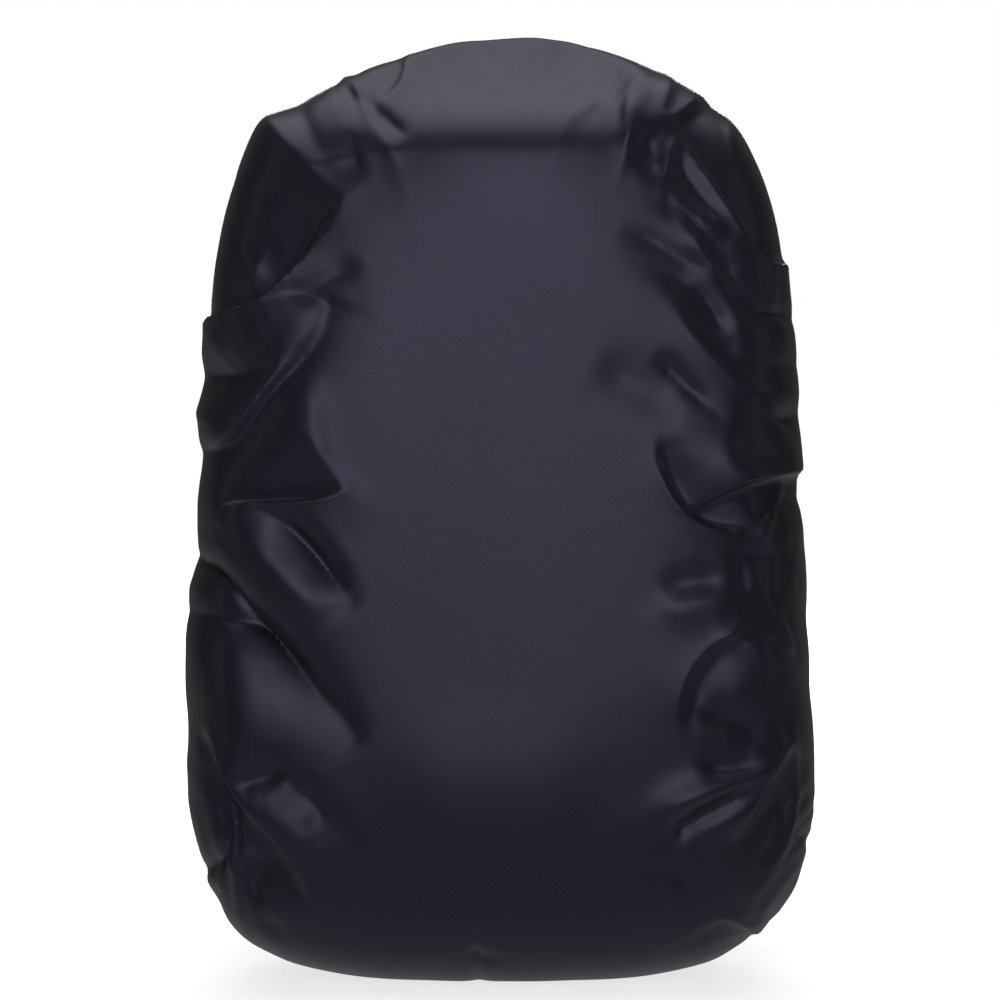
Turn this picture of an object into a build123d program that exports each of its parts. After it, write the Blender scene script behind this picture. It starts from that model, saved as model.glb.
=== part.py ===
"""Upright soft tail bag, packed full, in a fitted rain cover with an elastic hem.

Millimetres. +Z is up, the front of the cover faces -Y, the harness side faces +Y,
and the origin is the middle of the footprint on the surface that the bag stands on.
"""

import os
from collections import namedtuple

from build123d import *

os.makedirs("parts", exist_ok=True)

# ---------------------------------------------------------------- driving dimensions
HEIGHT = 520.0
WIDTH = 346.0
FRONT_DEPTH = 127.0  # belly, in front of the origin
BACK_DEPTH = 104.0  # flat back of the cover, behind the origin

BELLY_LOW, BELLY_HIGH = 90.0, 370.0  # the sides are straight between these heights
SHOULDER_HALF = 162.0  # half width where the shoulder dome begins
BASE_HALF = 78.0  # half width of the flat base
FRONT_LOW, FRONT_HIGH = 100.0, 400.0  # the front is straight between these heights
FRONT_TOP_DEPTH = 107.0
BASE_FRONT, BASE_BACK = 58.0, 78.0
CROWN_Y = 40.0  # the crown's highest line lies this far behind the origin
BACK_LOW, BACK_HIGH = 40.0, 450.0
FRONT_CORNER, BACK_CORNER = 95.0, 34.0
APEX = HEIGHT + 2.0  # the domes would close here, just above the flat crown

CLOTH = 2.0  # coated cloth of the cover, with its folds
WALL = 3.0  # bag wall: shell cloth, foam and lining
SPLIT_Y = 60.0  # seam between the cover's shell and its gathered skirt

BACK_FACE = 100.0  # outer face of the bag's back panel
BACK_PANEL = 8.0
FRAME_SHEET = 1.5
SEAM_GAP = 1.0

HEM_HALF, HEM_LOW, HEM_CENTRE, HEM_CORNER = 138.0, 44.0, 330.0, 50.0
HEM_RADIUS, HEM_BORE, ELASTIC_RADIUS = 5.5, 3.2, 2.9
HEM_Y = BACK_FACE + HEM_RADIUS + 0.5

WEB_WIDTH, WEB_THICK = 20.0, 1.6
RUN = 0.1  # radial clearance of a bar in its loop

Gaps = namedtuple("Gaps", "side front back top bottom")
COVER_OUTSIDE = Gaps(0.0, 0.0, 0.0, 0.0, 0.0)
COVER_INSIDE = Gaps(CLOTH, CLOTH, CLOTH, CLOTH, CLOTH)
BAG_OUTSIDE = Gaps(14.0, 30.0, 3.5, 8.0, 4.0)
POCKET_OUTSIDE = BAG_OUTSIDE._replace(front=12.0)
STATIONS = (0, 5, 14, 30, 60, 100, 180, 260, 340, 400, 440, 465, 485, 500, 511, 520)


# ---------------------------------------------------------------- the bag's form
def quarter(t, power):
    """Quarter of a superellipse: 1 at t = 0, falling to 0 at t = 1."""
    return max(0.0, 1.0 - t**power) ** (1.0 / power)


def between(z, low, high, at_low, at_high):
    return at_low + (at_high - at_low) * (z - low) / (high - low)


def half_width_at(z):
    if z < BELLY_LOW:
        return BASE_HALF + (WIDTH / 2 - BASE_HALF) * quarter(1 - z / BELLY_LOW, 2.2)
    if z < BELLY_HIGH:
        return between(z, BELLY_LOW, BELLY_HIGH, WIDTH / 2, SHOULDER_HALF)
    return SHOULDER_HALF * quarter((z - BELLY_HIGH) / (APEX - BELLY_HIGH), 2.3)


def front_at(z):
    if z < FRONT_LOW:
        return BASE_FRONT + (FRONT_DEPTH - BASE_FRONT) * quarter(1 - z / FRONT_LOW, 2.2)
    if z < FRONT_HIGH:
        return between(z, FRONT_LOW, FRONT_HIGH, FRONT_DEPTH, FRONT_TOP_DEPTH)
    reach = FRONT_TOP_DEPTH + CROWN_Y
    return reach * quarter((z - FRONT_HIGH) / (APEX - FRONT_HIGH), 2.2) - CROWN_Y


def back_at(z):
    if z < BACK_LOW:
        return BASE_BACK + (BACK_DEPTH - BASE_BACK) * quarter(1 - z / BACK_LOW, 2.0)
    if z < BACK_HIGH:
        return BACK_DEPTH
    reach = BACK_DEPTH - CROWN_Y
    return reach * quarter((z - BACK_HIGH) / (APEX - BACK_HIGH), 2.5) + CROWN_Y


def squeezed(z, gaps):
    """Height inside a smaller form that stands for height z of the outer one."""
    return gaps.bottom + z * (HEIGHT - gaps.bottom - gaps.top) / HEIGHT


def plan(z, gaps):
    """The form's outline at height z: a rectangle with large front corners."""
    half = half_width_at(z) - gaps.side
    front, back = front_at(z) - gaps.front, back_at(z) - gaps.back
    front_corner = min(FRONT_CORNER - gaps.side, 0.55 * half, 0.6 * (front + back))
    back_corner = min(BACK_CORNER, 0.3 * half, 0.25 * (front + back))
    face = Pos(0, (back - front) / 2) * Rectangle(2 * half, front + back)
    face = fillet(face.vertices().sort_by(Axis.Y)[:2], front_corner)
    face = fillet(face.vertices().sort_by(Axis.Y)[-2:], back_corner)
    return Pos(0, 0, squeezed(z, gaps)) * face


def form(gaps):
    """The bag's rounded form, pulled in on each side by the gaps."""
    return Solid(loft([plan(z, gaps) for z in STATIONS]).wrapped)


def slab(y_low, y_high, z_low=-10.0, z_high=HEIGHT + 10.0, half=WIDTH):
    """A block across the whole bag, for cutting it into panels."""
    size = (2 * half, y_high - y_low, z_high - z_low)
    return Pos(0, (y_low + y_high) / 2, (z_low + z_high) / 2) * Box(*size)


def block(x, y, z, round_by=0.0):
    """A box from three (low, high) pairs, with rounded edges."""
    size = (x[1] - x[0], y[1] - y[0], z[1] - z[0])
    made = Pos(sum(x) / 2, sum(y) / 2, sum(z) / 2) * Box(*size)
    return fillet(made.edges(), round_by) if round_by else made


def mirrored(shape):
    return mirror(shape, Plane.YZ)


def rod(start, end, radius):
    """A round bar from one point to another."""
    direction = Vector(*end) - Vector(*start)
    plane = Plane(origin=start, z_dir=direction)
    return extrude(plane * Circle(radius), direction.length)


# ---------------------------------------------------------------- rain cover
def hem_line():
    """Closed line of the hem on the back: a round arch over two bottom corners."""
    low, straight = HEM_LOW, HEM_HALF - HEM_CORNER
    corner_z = low + HEM_CORNER
    right, left = HEM_HALF, -HEM_HALF
    diagonal = HEM_CORNER * (1 - 0.5**0.5)
    plane = Plane(origin=(0, HEM_Y, 0), x_dir=(1, 0, 0), z_dir=(0, -1, 0))
    line = Line((-straight, low), (straight, low))
    line += ThreePointArc(
        (straight, low), (right - diagonal, low + diagonal), (right, corner_z)
    )
    line += Line((right, corner_z), (right, HEM_CENTRE))
    line += ThreePointArc(
        (right, HEM_CENTRE), (0, HEM_CENTRE + HEM_HALF), (left, HEM_CENTRE)
    )
    line += Line((left, HEM_CENTRE), (left, corner_z))
    line += ThreePointArc(
        (left, corner_z), (left + diagonal, low + diagonal), (-straight, low)
    )
    return Wire((plane * line).edges())


def hem_tube(radius):
    """A round tube's outside, following the hem line."""
    path = hem_line()
    start = Plane(origin=path @ 0, z_dir=path % 0)
    return Solid(sweep(start * Circle(radius), path=path).wrapped)


def hem_opening():
    """The hole in the cover's back, as a block through it."""
    face = make_face(hem_line().edges())
    wide = extrude(face, amount=60, both=True)
    return wide


def make_cover(parts):
    wall = form(COVER_OUTSIDE) - form(COVER_INSIDE)
    parts["cover_shell"] = wall & slab(-FRONT_DEPTH - 10, SPLIT_Y)
    tube = hem_tube(HEM_RADIUS)
    skirt = wall & slab(SPLIT_Y, BACK_DEPTH + 10)
    parts["cover_skirt"] = skirt - hem_opening() - tube
    parts["hem_casing"] = tube - hem_tube(HEM_BORE)
    parts["hem_elastic"] = hem_tube(ELASTIC_RADIUS)


# ---------------------------------------------------------------- bag shell and load
ZIP_Y, ZIP_HALF, ZIP_END_Z = -14.0, 6.0, 150.0
COIL_HALF, COIL_PROUD = 2.0, 1.5
FRONT_SEAM_Y = -46.0
BASE_SEAM_Z = 18.0
POCKET_HALF, POCKET_LOW, POCKET_HIGH, POCKET_ROUND = 98.0, 46.0, 300.0, 34.0
POCKET_ZIP_Z, POCKET_ZIP_HALF = 272.0, 72.0


def grown(gaps, by):
    return Gaps(*(gap + by for gap in gaps))


def make_bag(parts):
    outside = form(BAG_OUTSIDE)
    inside = form(grown(BAG_OUTSIDE, WALL))
    panel_y = BACK_FACE - BACK_PANEL
    wall = (outside - inside) & slab(-FRONT_DEPTH, panel_y)
    zip_low, zip_high = ZIP_Y - ZIP_HALF, ZIP_Y + ZIP_HALF

    parts["front_panel"] = wall & slab(-FRONT_DEPTH, FRONT_SEAM_Y)
    ring = wall & slab(FRONT_SEAM_Y, panel_y)
    parts["base_panel"] = ring & slab(-FRONT_DEPTH, panel_y, z_high=BASE_SEAM_Z)
    sides = ring & slab(-FRONT_DEPTH, panel_y, z_low=BASE_SEAM_Z)
    tape = sides & slab(zip_low, zip_high, z_low=ZIP_END_Z)
    rest = sides - slab(zip_low, zip_high, z_low=ZIP_END_Z)
    parts["main_zip_tape"] = tape
    parts["gusset_front"] = rest & slab(FRONT_SEAM_Y, zip_low)
    parts["gusset_rear"] = rest & slab(zip_low, panel_y)

    coil = form(grown(BAG_OUTSIDE, -COIL_PROUD)) - outside
    parts["main_zip_coil"] = coil & slab(
        ZIP_Y - COIL_HALF, ZIP_Y + COIL_HALF, z_low=ZIP_END_Z
    )

    parts["back_panel"] = outside & slab(panel_y, BACK_FACE)
    sheet_y = panel_y - FRAME_SHEET - SEAM_GAP
    load = form(grown(BAG_OUTSIDE, WALL + SEAM_GAP))
    parts["packed_load"] = load & slab(-FRONT_DEPTH, sheet_y - SEAM_GAP)
    sheet_form = form(grown(BAG_OUTSIDE, 2.5 * WALL))
    parts["frame_sheet"] = sheet_form & slab(sheet_y, sheet_y + FRAME_SHEET)

    pocket_plan = Pos(0, 0, (POCKET_LOW + POCKET_HIGH) / 2) * Rot(90, 0, 0)
    pocket_face = RectangleRounded(
        2 * POCKET_HALF, POCKET_HIGH - POCKET_LOW, POCKET_ROUND
    )
    prism = extrude(pocket_plan * pocket_face, FRONT_DEPTH)
    pocket = (form(POCKET_OUTSIDE) & prism) - outside
    parts["front_pocket"] = pocket
    zip_face = -(front_at(POCKET_ZIP_Z) - POCKET_OUTSIDE.front)
    strip = block(
        (-POCKET_ZIP_HALF, POCKET_ZIP_HALF),
        (zip_face - COIL_PROUD, zip_face + 1.0),
        (POCKET_ZIP_Z - 4, POCKET_ZIP_Z + 4),
    )
    parts["pocket_zip"] = strip - pocket


# ---------------------------------------------------------------- zip sliders and pulls
SLIDER_WIDE, SLIDER_LONG, SLIDER_THICK = 9.0, 12.0, 4.0
PULL_LONG, PULL_WIDE, PULL_THICK = 26.0, 5.0, 1.6
STUD_RADIUS = 1.6
ZIP_SLACK = 0.6  # room between a slider and the coil


def slider_and_pull():
    """A slider on a zip that runs along Z, facing -Y, its back at the origin."""
    body = block(
        (-SLIDER_WIDE / 2, SLIDER_WIDE / 2),
        (-SLIDER_THICK, 0),
        (-SLIDER_LONG / 2, SLIDER_LONG / 2),
        round_by=1.2,
    )
    stud_end = -SLIDER_THICK - PULL_THICK - 0.8
    body += rod((0, -SLIDER_THICK + 1, 0), (0, stud_end, 0), STUD_RADIUS)
    head = rod((0, stud_end, 0), (0, stud_end - 0.8, 0), 2.6)
    body += head
    pull_y = (-SLIDER_THICK - 0.4 - PULL_THICK, -SLIDER_THICK - 0.4)
    pull = Rot(90, 0, 0) * Pos(0, -PULL_LONG / 2 + 3) * RectangleRounded(
        PULL_WIDE, PULL_LONG, 2.2
    )
    pull = Pos(0, pull_y[1], 0) * extrude(pull, PULL_THICK)
    pull -= rod((0, 0, 0), (0, -20, 0), STUD_RADIUS + RUN)
    return body, pull


def side_zip_place():
    """Place of the closed main slider on the right side, facing outward."""
    z = ZIP_END_Z + 16
    out = half_width_at(z) - BAG_OUTSIDE.side + COIL_PROUD + ZIP_SLACK
    lean = -(WIDTH / 2 - SHOULDER_HALF) / (BELLY_HIGH - BELLY_LOW)
    axis = Vector(lean, 0, 1).normalized()
    facing = Vector(1, 0, -lean).normalized()
    return Location(Plane(origin=(out, ZIP_Y, z), x_dir=axis.cross(facing), z_dir=axis))


def pocket_zip_place():
    """Place of the closed pocket slider at the left end of its zip, facing -Y."""
    face = -(front_at(POCKET_ZIP_Z) - POCKET_OUTSIDE.front) - COIL_PROUD - ZIP_SLACK
    return Location((-POCKET_ZIP_HALF + 10, face, POCKET_ZIP_Z))


def make_sliders(parts):
    body, pull = slider_and_pull()
    side = side_zip_place()
    parts["zip_slider"], parts["zip_pull"] = side * body, side * pull
    pocket = pocket_zip_place()
    turned = Rot(0, 90, 0) * body
    parts["pocket_slider"], parts["pocket_pull"] = pocket * turned, pocket * pull


# ---------------------------------------------------------------- back pads and yoke
PAD_FACE = BACK_FACE + 11.0
YOKE_LOW, YOKE_HIGH, YOKE_HALF = 403.0, 417.0, 78.0


def make_back(parts):
    pad = block((20, 92), (BACK_FACE, PAD_FACE), (118, 386))
    pad = fillet(pad.edges().filter_by(Axis.Y), 16)
    pad = fillet(pad.faces().sort_by(Axis.Y)[-1].edges(), 5)
    parts["back_pad_right"] = pad
    parts["back_pad_left"] = mirrored(pad)
    lumbar = block((-70, 70), (BACK_FACE, PAD_FACE), (60, 108))
    lumbar = fillet(lumbar.edges().filter_by(Axis.Y), 16)
    parts["lumbar_pad"] = fillet(lumbar.faces().sort_by(Axis.Y)[-1].edges(), 5)
    parts["strap_yoke"] = block(
        (-YOKE_HALF, YOKE_HALF), (BACK_FACE, BACK_FACE + 5), (YOKE_LOW, YOKE_HIGH), 1.5
    )


# ---------------------------------------------------------------- carrying handle
HANDLE_Z, HANDLE_Y, HANDLE_HALF, HANDLE_DROP = 448.0, 113.0, 34.0, 32.0


def make_handle(parts):
    """A padded grab loop that hangs from two webbing loops sewn to the back."""
    loop_x = (HANDLE_HALF - 8, HANDLE_HALF + 8)
    eye = rod((loop_x[0], HANDLE_Y, HANDLE_Z), (loop_x[1], HANDLE_Y, HANDLE_Z), 4.2)
    eye += block(loop_x, (BACK_FACE, HANDLE_Y), (HANDLE_Z - 2.2, HANDLE_Z + 2.2))
    eye += block(loop_x, (BACK_FACE, BACK_FACE + 2.4), (HANDLE_Z - 8, HANDLE_Z + 8))
    eye -= rod((0, HANDLE_Y, HANDLE_Z), (90, HANDLE_Y, HANDLE_Z), 2.2 + RUN)
    parts["handle_loops"] = eye + mirrored(eye)

    half, low = HANDLE_HALF + 14, HANDLE_Z - HANDLE_DROP
    bend = 5.0
    plane = Plane(origin=(0, HANDLE_Y, 0), x_dir=(1, 0, 0), z_dir=(0, -1, 0))
    points = [(0, HANDLE_Z), (half, HANDLE_Z), (half, low), (0, low)]
    side = FilletPolyline(points, radius=bend)
    path = Wire((plane * side).edges())
    start = Plane(origin=path @ 0, z_dir=path % 0)
    wire = Solid(sweep(start * Circle(2.2), path=path).wrapped)
    parts["handle_wire"] = wire + mirrored(wire)
    grip = rod((-30, HANDLE_Y, low), (30, HANDLE_Y, low), 6.0)
    grip = fillet(grip.edges(), 2.5)
    parts["handle_grip"] = grip - rod((-40, HANDLE_Y, low), (40, HANDLE_Y, low), 2.2)


# ---------------------------------------------------------------- tie-down rings
RING_X, RING_UPPER_Z, RING_LOWER_Z = 114.0, 332.0, 104.0
RING_WIRE, RING_ARC, RING_SIDE = 2.0, 13.0, 5.0
RING_Y = BACK_FACE + 7.0
TAB_HALF, TAB_HIGH, TAB_OUTER = 9.0, 26.0, 4.2


def tie_ring():
    """A D-shaped ring about its straight bar, hanging below the origin."""
    plane = Plane(origin=(0, 0, 0), x_dir=(1, 0, 0), z_dir=(0, -1, 0))
    bend = 3.0
    side = Line((0, 0), (RING_ARC - bend, 0))
    side += JernArc(side @ 1, side % 1, bend, -90)
    side += Line((RING_ARC, -bend), (RING_ARC, -RING_SIDE))
    side += JernArc((RING_ARC, -RING_SIDE), (0, -1), RING_ARC, -90)
    path = Wire((plane * side).edges())
    start = Plane(origin=path @ 0, z_dir=path % 0)
    half = Solid(sweep(start * Circle(RING_WIRE), path=path).wrapped)
    return half + mirrored(half)


def ring_tab():
    """A webbing loop round the ring's bar, sewn flat to the back panel above it."""
    reach = BACK_FACE - RING_Y
    tab = rod((-TAB_HALF, 0, 0), (TAB_HALF, 0, 0), TAB_OUTER)
    tab += block((-TAB_HALF, TAB_HALF), (reach, reach + 3.0), (-2, TAB_HIGH))
    tab += block((-TAB_HALF, TAB_HALF), (reach, 0), (-1.5, TAB_OUTER))
    return tab - rod((-30, 0, 0), (30, 0, 0), RING_WIRE + RUN)


def make_rings(parts):
    ring, tab = tie_ring(), ring_tab()
    for level, z in (("upper", RING_UPPER_Z), ("lower", RING_LOWER_Z)):
        for side, x in (("left", -RING_X), ("right", RING_X)):
            place = Pos(x, RING_Y, z)
            parts[f"tie_ring_{level}_{side}"] = place * ring
            parts[f"ring_tab_{level}_{side}"] = place * tab


# ---------------------------------------------------------------- harness
STRAP_TOP, STRAP_LOW, STRAP_WIDE = 401.0, 166.0, 54.0
STRAP_X, STRAP_BEND, STRAP_TURN, STRAP_TURN_Z = 52.0, 150.0, 28.36, 345.0
STRAP_Y = (PAD_FACE + 1.5, PAD_FACE + 9.5)
LOCK_X = 88.0
LOCK_Y = sum(STRAP_Y) / 2
LOCK_BARS = (159.0, 151.0, 142.0)  # top, middle and lower bar heights
LOCK_BAR, LOCK_HALF, RAIL = 1.6, 15.0, 3.4
ANCHOR_Z = (58.0, 76.0)


def shoulder_strap():
    """The right strap: an S-curved padded band with a loop for the ladder lock."""
    plane = Plane(origin=(0, STRAP_Y[1], 0), x_dir=(1, 0, 0), z_dir=(0, -1, 0))
    top = Line((STRAP_X, STRAP_TOP), (STRAP_X, STRAP_TURN_Z))
    out = JernArc(top @ 1, top % 1, STRAP_BEND, STRAP_TURN)
    back = JernArc(out @ 1, out % 1, STRAP_BEND, -STRAP_TURN)
    low = Line(back @ 1, ((back @ 1).X, STRAP_LOW))
    band = trace(top + out + back + low, STRAP_WIDE)
    strap = extrude(plane * band, STRAP_Y[1] - STRAP_Y[0])
    half = STRAP_WIDE / 2 - 4
    root = block(
        (STRAP_X - half, STRAP_X + half),
        (BACK_FACE + 1, STRAP_Y[1]),
        (STRAP_TOP - 9, STRAP_TOP),
    )
    tongue_x = (LOCK_X - WEB_WIDTH / 2, LOCK_X + WEB_WIDTH / 2)
    bar_z = LOCK_BARS[0]
    loop = block(tongue_x, (LOCK_Y - 1.7, LOCK_Y + 1.7), (bar_z, STRAP_LOW + 6))
    loop += rod((tongue_x[0], LOCK_Y, bar_z), (tongue_x[1], LOCK_Y, bar_z), 3.4)
    loop -= rod((50, LOCK_Y, bar_z), (130, LOCK_Y, bar_z), LOCK_BAR + RUN)
    return strap + root + loop


def ladder_lock():
    """Two rails and three bars: the top bar hangs in the strap's loop."""
    lock = Part()
    rail_z = (LOCK_BARS[2] - 3, LOCK_BARS[0] + 3)
    for side in (-1, 1):
        middle = LOCK_X + side * (LOCK_HALF - RAIL / 2)
        rail_x = (middle - RAIL / 2, middle + RAIL / 2)
        lock += block(rail_x, (LOCK_Y - 2.2, LOCK_Y + 2.2), rail_z, 0.9)
    for z in LOCK_BARS:
        ends = (LOCK_X - LOCK_HALF + 1, LOCK_X + LOCK_HALF - 1)
        lock += rod((ends[0], LOCK_Y, z), (ends[1], LOCK_Y, z), LOCK_BAR)
    return lock


def adjuster_web():
    """Webbing from the anchor, up round the lock's middle bar, with a hanging tail."""
    plane = Plane(origin=(LOCK_X - WEB_WIDTH / 2, 0, 0), x_dir=(0, 1, 0), z_dir=(1, 0, 0))
    wrap = LOCK_BAR + 0.4 + WEB_THICK / 2
    inner, outer = LOCK_Y - wrap, LOCK_Y + wrap
    bar_z = LOCK_BARS[1]
    up = FilletPolyline(
        [(BACK_FACE + 3.4, ANCHOR_Z[0] + 4), (BACK_FACE + 3.4, 80), (inner, 126), (inner, bar_z)],
        radius=18,
    )
    turn = ThreePointArc((inner, bar_z), (LOCK_Y, bar_z + wrap), (outer, bar_z))
    tail = Line((outer, bar_z), (outer, 92))
    return extrude(plane * trace(up + turn + tail, WEB_THICK), WEB_WIDTH)


def web_anchor():
    """The sewn patch that holds the adjuster webbing at the bag's lower corner."""
    patch = block(
        (LOCK_X - 13, LOCK_X + 13), (BACK_FACE, BACK_FACE + 2.4), ANCHOR_Z
    )
    return fillet(patch.edges().filter_by(Axis.Y), 4)


def make_harness(parts):
    for name, shape in (
        ("shoulder_strap", shoulder_strap()),
        ("ladder_lock", ladder_lock()),
        ("adjuster_web", adjuster_web()),
        ("web_anchor", web_anchor()),
    ):
        parts[f"{name}_right"] = shape
        parts[f"{name}_left"] = mirrored(shape)


# ---------------------------------------------------------------- sternum strap
STERNUM_Z = 318.0
STERNUM_WEB_Y = (STRAP_Y[1] + 0.4, STRAP_Y[1] + 0.4 + WEB_THICK)
BUCKLE_Y = (STRAP_Y[1] + 0.2, STRAP_Y[1] + 6.8)
BUCKLE_HIGH, SOCKET_X, PLUG_X = 25.0, (-23.0, 4.0), (4.4, 23.0)
PRONG_REACH, PRONG_WIDE, PRONG_THICK = 18.0, 4.0, 3.2
PRONG_Z = 7.4


def make_sternum(parts):
    """A webbing strap across the chest with a side-release buckle."""
    middle = sum(BUCKLE_Y) / 2
    high = (STERNUM_Z - BUCKLE_HIGH / 2, STERNUM_Z + BUCKLE_HIGH / 2)
    socket = block(SOCKET_X, BUCKLE_Y, high, 2.0)
    hollow_y = (middle - PRONG_THICK / 2 - 0.4, middle + PRONG_THICK / 2 + 0.4)
    hollow_z = (STERNUM_Z - PRONG_Z - 2.6, STERNUM_Z + PRONG_Z + 2.6)
    socket -= block((SOCKET_X[1] - 20, SOCKET_X[1] + 2), hollow_y, hollow_z)
    window = (SOCKET_X[1] - 17, SOCKET_X[1] - 8)
    socket -= block(window, hollow_y, (high[0] - 1, high[1] + 1))
    parts["sternum_socket"] = socket

    plug = block(PLUG_X, BUCKLE_Y, high, 2.0)
    guide_x = (PLUG_X[0] - 12, PLUG_X[0] + 3)
    thin_y = (middle - PRONG_THICK / 2, middle + PRONG_THICK / 2)
    plug += block(guide_x, thin_y, (STERNUM_Z - 1.8, STERNUM_Z + 1.8))
    parts["sternum_plug"] = plug
    for name, side in (("upper", 1), ("lower", -1)):
        z = sorted(STERNUM_Z + side * (PRONG_Z + offset) for offset in (-2, 2))
        root_x = PLUG_X[0] - 0.3
        prong = block((root_x - PRONG_REACH, root_x), thin_y, z, 1.2)
        parts[f"buckle_prong_{name}"] = prong

    web_z = (STERNUM_Z - WEB_WIDTH / 2, STERNUM_Z + WEB_WIDTH / 2)
    web = block((PLUG_X[1], 72), STERNUM_WEB_Y, web_z)
    parts["sternum_web_right"] = web
    parts["sternum_web_left"] = mirrored(web)


# ---------------------------------------------------------------- build and write
def main():
    parts = {}
    make_cover(parts)
    make_bag(parts)
    make_sliders(parts)
    make_back(parts)
    make_handle(parts)
    make_rings(parts)
    make_harness(parts)
    make_sternum(parts)
    for name, shape in parts.items():
        shape.label = name
        export_step(shape, f"parts/{name}.step")


main()
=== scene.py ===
"""Studio model of a tall soft tail bag that stands packed full in its rain cover.

Metres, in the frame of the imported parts: +Z is up, the cover's closed front faces -Y
and the harness side faces +Y.
"""

from __future__ import annotations

import logging
import math
from collections.abc import Callable, Iterator
from contextlib import contextmanager
from dataclasses import dataclass
from enum import Enum

import bmesh
import bpy
import numpy as np
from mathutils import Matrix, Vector, noise
from mathutils.kdtree import KDTree


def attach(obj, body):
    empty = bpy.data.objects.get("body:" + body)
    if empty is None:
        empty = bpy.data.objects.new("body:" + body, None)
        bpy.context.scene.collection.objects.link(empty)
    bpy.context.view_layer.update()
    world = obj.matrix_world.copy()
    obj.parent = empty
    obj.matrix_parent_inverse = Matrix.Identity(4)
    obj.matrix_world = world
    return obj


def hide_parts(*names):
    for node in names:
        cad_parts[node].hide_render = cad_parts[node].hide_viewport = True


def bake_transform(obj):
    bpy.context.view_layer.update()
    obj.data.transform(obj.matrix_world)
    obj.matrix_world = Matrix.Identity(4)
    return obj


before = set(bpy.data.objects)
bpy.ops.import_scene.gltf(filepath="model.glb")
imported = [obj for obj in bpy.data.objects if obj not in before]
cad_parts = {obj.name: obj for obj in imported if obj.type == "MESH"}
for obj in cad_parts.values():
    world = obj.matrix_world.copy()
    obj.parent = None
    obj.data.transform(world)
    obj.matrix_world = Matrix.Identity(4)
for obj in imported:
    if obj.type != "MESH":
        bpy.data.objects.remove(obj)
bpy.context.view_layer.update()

Array = np.ndarray
Piece = bpy.types.Object
log = logging.getLogger("tail_bag")
MM = 0.001
MIDDLE = (0.0, 0.0, 0.26)  # middle of the bag, which seams run round
OUT = (0.0, 1.0, 0.0)  # away from the harness side
AHEAD = (0.0, -1.0, 0.0)  # away from the closed front
TUCK_EDGE = 0.0045  # a tuck's steep edge falls over this width


# ---------------------------------------------------------------- small tools
def linear(code: str) -> tuple[float, float, float, float]:
    """Turn an sRGB hex colour into linear light.

    Args:
        code: Six hex digits.

    Returns:
        Red, green, blue and an alpha of one.
    """
    parts = [int(code[i : i + 2], 16) / 255 for i in (0, 2, 4)]
    lit = [c / 12.92 if c <= 0.04045 else ((c + 0.055) / 1.055) ** 2.4 for c in parts]
    return lit[0], lit[1], lit[2], 1.0


def plug(
    tree: bpy.types.NodeTree, node: bpy.types.Node, links: dict | None, values: dict | None = None
) -> None:
    """Set and link a node's inputs.

    Args:
        tree: The node's tree.
        node: The node.
        links: Output sockets by the name or number of the input that each one feeds.
        values: Values by the name or number of the input that each one sets.
    """
    for name, value in (values or {}).items():
        node.inputs[name].default_value = value
    for name, output in (links or {}).items():
        tree.links.new(output, node.inputs[name])


def add_node(
    tree: bpy.types.NodeTree, kind: str, links: dict | None = None, values: dict | None = None, **settings
) -> bpy.types.Node:
    """Add a shader node with its settings and links.

    Args:
        tree: The node tree to add to.
        kind: The node's type name.
        links: Output sockets by the name or number of the input that each one feeds.
        values: Values by the name or number of the input that each one sets.
        settings: Attributes of the node, or values of its inputs where they are named so.

    Returns:
        The new node.
    """
    node = tree.nodes.new(kind)
    for name, value in settings.items():
        if hasattr(node, name):
            setattr(node, name, value)
        else:
            node.inputs[name.replace("_", " ")].default_value = value
    plug(tree, node, links, values)
    return node


def linked(name: str, data: bpy.types.ID) -> Piece:
    """Put a new object into the scene.

    Args:
        name: Its name.
        data: Its mesh, camera or lamp.

    Returns:
        The object.
    """
    made = bpy.data.objects.new(name, data)
    bpy.context.scene.collection.objects.link(made)
    return made


def only(piece: Piece) -> Piece:
    """Select one object alone and make it active.

    Args:
        piece: The object.

    Returns:
        The same object.
    """
    bpy.ops.object.select_all(action="DESELECT")
    piece.select_set(True)
    bpy.context.view_layer.objects.active = piece
    return piece


@contextmanager
def edited(piece: Piece) -> Iterator[None]:
    """Open a piece in edit mode with all of it selected, and close it again.

    Args:
        piece: The object.

    Yields:
        Nothing; operators in the block act on the piece.
    """
    only(piece)
    bpy.ops.object.mode_set(mode="EDIT")
    bpy.ops.mesh.select_all(action="SELECT")
    yield
    bpy.ops.object.mode_set(mode="OBJECT")


def net(name: str, points: Array, around: bool) -> Piece:
    """Lay a primitive grid over rows of points and close its seam and pole.

    Args:
        name: Name of the new piece.
        points: Array of rows by columns by three, in metres.
        around: Whether the last column meets the first.

    Returns:
        The finished mesh object.
    """
    if around:
        points = np.concatenate([points, points[:, :1]], axis=1)
    rows, columns = points.shape[:2]
    bpy.ops.object.select_all(action="DESELECT")
    bpy.ops.mesh.primitive_grid_add(x_subdivisions=columns - 1, y_subdivisions=rows - 1, size=1)
    piece = bpy.context.object
    piece.name = piece.data.name = name
    piece.data.vertices.foreach_set("co", points.reshape(-1).astype(np.float32))
    with edited(piece):
        bpy.ops.mesh.remove_doubles(threshold=2e-6)
        bpy.ops.mesh.dissolve_degenerate(threshold=1e-6)
    bpy.ops.object.shade_smooth()
    return piece


def smoothstep(t: Array) -> Array:
    """Ease from 0 to 1 as t goes from 0 to 1."""
    t = np.clip(t, 0.0, 1.0)
    return t * t * (3 - 2 * t)


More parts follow.
